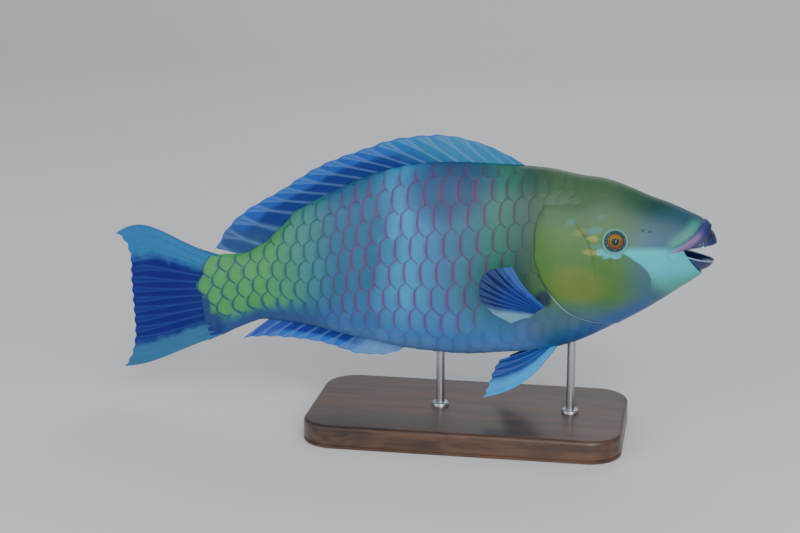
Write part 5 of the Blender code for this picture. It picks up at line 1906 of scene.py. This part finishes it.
@dataclass
class Eye:
    """One eyeball: sunk iris and pupil under a clear cornea."""

    side: float
    rings: int = 72
    around: int = 96
    iris_radius: float = 0.0046
    pupil_radius: float = 0.0021
    iris_sink: float = 0.0007

    def axes(self) -> tuple[Array, Array, Array, Array]:
        """Centre of the eyeball and its outward, forward and upward directions."""
        point, outward = EYE.surface(self.side)
        centre = point - EYE.sink * outward
        forward = unit(np.array([1.0, 0.0, 0.0]) - outward[0] * outward)
        upward = np.cross(outward, forward) * -self.side
        if upward[2] < 0.0:
            upward = -upward
        return centre, outward, forward, upward

    def shell(self, radius: float, widest: float, sunk: bool) -> Part:
        """Lay out the front of a ball, closed behind.

        Args:
            radius: the ball's radius.
            widest: angle from the outward axis at which the front ends.
            sunk: whether the iris lies below the ball's face.

        Returns:
            The closed part.
        """
        centre, outward, forward, upward = self.axes()
        tilt = np.linspace(0.004, widest, self.rings)[:, None]
        turn = np.linspace(0.0, 2.0 * math.pi, self.around, endpoint=False)[None, :]
        away = radius * np.sin(tilt) * np.ones_like(turn)
        height = radius * np.cos(tilt) * np.ones_like(turn)
        if sunk:
            drop = self.iris_sink * ease((self.iris_radius + 0.0002 - away) / 0.0009)
            bead = 0.00016 * bell(away - self.pupil_radius - 0.0003, 0.00035)
            height = height - drop - 0.0005 * ease((self.pupil_radius - away) / 0.0004) + bead
        arm = np.cos(turn)[..., None] * forward + np.sin(turn)[..., None] * upward
        points = centre + away[..., None] * arm + height[..., None] * outward
        faces = tube_faces(self.rings, self.around)
        if self.side < 0.0:
            faces = [f[:, ::-1] for f in faces]
        values = {
            "away": away.ravel(), "turn": (np.abs(turn - math.pi) * np.ones_like(tilt)).ravel(),
            "high": (np.sin(turn) * np.ones_like(tilt)).ravel(),
        }
        return Part(points.reshape(-1, 3), faces, values)

    def build(self) -> list[bpy.types.Object]:
        """Build the eyeball and its cornea."""
        word = side_word(self.side)
        ball = self.shell(EYE.radius - 0.0001, 1.45, True).build(f"eyeball_{word}", IrisFinish().make())
        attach(ball, "root")
        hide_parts(f"eye_{word}")
        film = self.shell(EYE.radius, 0.74, False).build(f"cornea_{word}", CorneaFinish().make())
        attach(film, "root")
        return [ball, film]


# Stand


@dataclass(frozen=True)
class WoodFinish:
    """Dark oiled hardwood with fine grain along the base."""

    light: Colour = tint(92, 62, 42)
    dark: Colour = tint(46, 28, 20)

    def make(self) -> bpy.types.Material:
        """Make the material."""
        p = Paint("dark hardwood", 0.45, Coat_Weight=0.35, Coat_Roughness=0.25)
        x, y, z = p.place()
        sway = p.noise(9.0, 2.0) * 0.05
        grain = p.noise(1.0, 5.0, p.vector(x * 9.0, (y + sway) * 190.0, z * 190.0))
        pores = p.noise(1.0, 2.0, p.vector(x * 60.0, y * 2200.0, z * 2200.0))
        colour = p.blend(p.step(grain, 0.30, 0.72), self.dark, self.light)
        p.feed("Base Color", p.scaled(colour, 0.75 + pores * 0.4))
        p.feed("Roughness", 0.36 + grain * 0.2)
        p.bump(grain * 0.5 + pores * 0.5, 0.00012)
        return p.material


@dataclass(frozen=True)
class SteelFinish:
    """Brushed stainless steel."""

    bright: Colour = tint(196, 198, 202)
    dull: Colour = tint(150, 152, 156)

    def make(self) -> bpy.types.Material:
        """Make the material."""
        p = Paint("brushed steel", 0.32, Metallic=1.0)
        x, y, z = p.place()
        brush = p.noise(1.0, 3.0, p.vector(x * 900.0, y * 900.0, z * 9000.0))
        p.feed("Base Color", p.blend(brush, self.dull, self.bright))
        p.feed("Roughness", 0.24 + brush * 0.2)
        p.bump(brush, 0.00002)
        return p.material


@dataclass
class Stand:
    """A flat wooden base with rounded edges, and two rods in small collars."""

    length: float = 0.190
    width: float = 0.100
    height: float = 0.014
    corner: float = 0.020
    bevel: float = 0.0025
    rod_radius: float = 0.0025
    rod_x: Pair = (0.0620, -0.0170)
    rod_foot: float = 0.0080
    rod_sunk: float = 0.0120
    collar_radius: float = 0.0052
    collar_height: float = 0.0022

    def outline(self, inset: float, per_corner: int = 20) -> Array:
        """Rounded rectangle of the base, drawn in by an inset."""
        corners = []
        radius = self.corner - inset
        for k, (sx, sy) in enumerate(((1, 1), (-1, 1), (-1, -1), (1, -1))):
            cx = sx * (0.5 * self.length - self.corner)
            cy = sy * (0.5 * self.width - self.corner)
            for i in range(per_corner + 1):
                turn = 0.5 * math.pi * (k + i / per_corner)
                corners.append((cx + radius * math.cos(turn), cy + radius * math.sin(turn)))
        return np.array(corners)

    def base(self) -> Part:
        """The base, its upper edge rounded and a fine shadow line above its foot."""
        levels = [
            (0.0, 0.0006), (0.0006, 0.0), (0.0018, 0.0), (0.0020, 0.0006), (0.0028, 0.0006), (0.0030, 0.0),
        ]
        steps = 10
        for k in range(steps + 1):
            turn = 0.5 * math.pi * k / steps
            drop = self.bevel * (1.0 - math.sin(turn))
            levels.append((self.height - drop, self.bevel * (1.0 - math.cos(turn))))
        rings = []
        for z, inset in levels:
            ring = self.outline(inset)
            rings.append(np.column_stack([ring, np.full(len(ring), z)]))
        return Part(np.concatenate(rings), tube_faces(len(rings), len(rings[0])))

    def turned(self, x: float, profile: Sequence[Pair], around: int = 48) -> Part:
        """A turned piece round an upright axis, from (radius, height) points up its side."""
        turn = np.linspace(0.0, 2.0 * math.pi, around, endpoint=False)
        level = np.ones(around)
        rings = [np.column_stack([x + r * np.cos(turn), r * np.sin(turn), z * level]) for r, z in profile]
        return Part(np.concatenate(rings), tube_faces(len(profile), around))

    def build(self) -> list[bpy.types.Object]:
        """Build the base, the rods and their collars."""
        made = [self.base().build("plinth", WoodFinish().make(), sharp=35.0)]
        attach(made[0], "root")
        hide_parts("stand_base")
        steel = SteelFinish().make()
        for x, word in zip(self.rod_x, ("front", "rear")):
            top = float(BODY.plan(x)[1]) + self.rod_sunk
            foot = self.height - self.rod_foot
            r = self.rod_radius
            profile = [(r - 0.0003, foot), (r, foot + 0.0003), (r, top - 0.0003), (r - 0.0003, top)]
            rod = self.turned(x, profile).build(f"rod_{word}", steel, sharp=35.0)
            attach(rod, "root")
            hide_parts(f"stand_rod_{word}")
            c, crest = self.collar_radius, self.height + self.collar_height
            ring = [(c, self.height - 0.0004), (c, crest - 0.0007), (c - 0.0003, crest - 0.0002),
                    (c - 0.0007, crest), (r + 0.0001, crest)]
            collar = self.turned(x, ring).build(f"collar_{word}", steel, sharp=35.0)
            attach(collar, "root")
            made += [rod, collar]
        return made


# Studio


@dataclass
class Studio:
    """Pale floor, soft lights and the camera at the photograph's viewing angle."""

    azimuth: float = 10.0
    elevation: float = 15.0
    distance: float = 1.1
    target: Triple = (-0.042, 0.0, 0.100)
    lens: float = 82.5
    sensor: float = 36.0
    floor_colour: Colour = tint(236, 237, 239)

    def floor(self) -> None:
        """Lay a pale floor that turns up far behind."""
        profile = [(-3.0, 0.0), (1.4, 0.0)]
        for k in range(1, 13):
            turn = 0.5 * math.pi * k / 12
            profile.append((1.4 + 0.8 * math.sin(turn), 0.8 * (1.0 - math.cos(turn))))
        profile.append((2.2, 3.0))
        points = np.array([(x, y, z) for x in (-4.0, 4.0) for y, z in profile])
        p = Paint("pale floor", 0.7)
        tone = p.noise(3.0, 2.0)
        p.feed("Base Color", p.blend(tone, self.floor_colour, tint(231, 232, 235)))
        p.bump(p.noise(400.0, 2.0), 0.00005)
        piece = Part(points, [grid_faces(2, len(profile))]).build("floor", p.material)

    def light(self, name: str, place: Triple, size: float, power: float, colour: tuple) -> None:
        """Hang one soft square light that looks at the fish."""
        data = bpy.data.lights.new(name, "AREA")
        data.shape = "SQUARE"
        data.size = size
        data.energy = power
        data.color = colour
        lamp = bpy.data.objects.new(name, data)
        bpy.context.scene.collection.objects.link(lamp)
        lamp.location = place
        lamp.rotation_euler = (Vector((0.0, 0.0, 0.1)) - Vector(place)).to_track_quat("-Z", "Y").to_euler()

    def camera(self) -> None:
        """Set the camera."""
        az, el = math.radians(self.azimuth), math.radians(self.elevation)
        back = Vector((math.sin(az) * math.cos(el), -math.cos(az) * math.cos(el), math.sin(el)))
        data = bpy.data.cameras.new("camera")
        data.lens = self.lens
        data.sensor_width = self.sensor
        data.clip_start = 0.01
        data.clip_end = 50.0
        lens = bpy.data.objects.new("camera", data)
        bpy.context.scene.collection.objects.link(lens)
        lens.location = Vector(self.target) + back * self.distance
        lens.rotation_euler = (-back).to_track_quat("-Z", "Y").to_euler()
        bpy.context.scene.camera = lens

    def build(self) -> None:
        """Build it all."""
        self.floor()
        self.light("key", (0.5, -1.5, 0.9), 1.2, 20.0, (1.0, 0.98, 0.95))
        self.light("fill", (-1.2, -1.1, 0.5), 1.4, 9.0, (0.95, 0.98, 1.0))
        self.light("low", (0.5, -1.3, 0.22), 0.4, 3.0, (0.97, 0.99, 1.0))
        self.light("back", (0.2, 1.2, 1.2), 1.0, 4.0, (0.97, 0.99, 1.0))
        world = bpy.data.worlds.new("studio")
        world.use_nodes = True
        world.node_tree.nodes["Background"].inputs[0].default_value = (0.86, 0.90, 0.94, 1.0)
        world.node_tree.nodes["Background"].inputs[1].default_value = 0.45
        bpy.context.scene.world = world
        self.camera()


def report_piece(piece: bpy.types.Object) -> None:
    """Log one piece with its number of triangles."""
    triangles = sum(len(face.vertices) - 2 for face in piece.data.polygons)
    LOG.info("%s: %d triangles", piece.name, triangles)


def main() -> None:
    """Build every part of the fish, its stand and the studio."""
    logging.basicConfig(level=logging.INFO, format="%(message)s")
    Studio().build()
    makers = [
        FishSkin(), ScaleCoat(), DorsalFin(), AnalFin(), CaudalFin(),
        PectoralFin(side=-1.0), PectoralFin(side=1.0), PelvicFin(side=-1.0), PelvicFin(side=1.0),
        Beak(), Eye(-1.0), Eye(1.0), Stand(),
    ]
    for maker in makers:
        for piece in maker.build():
            report_piece(piece)


if __name__ == "__main__":
    main()
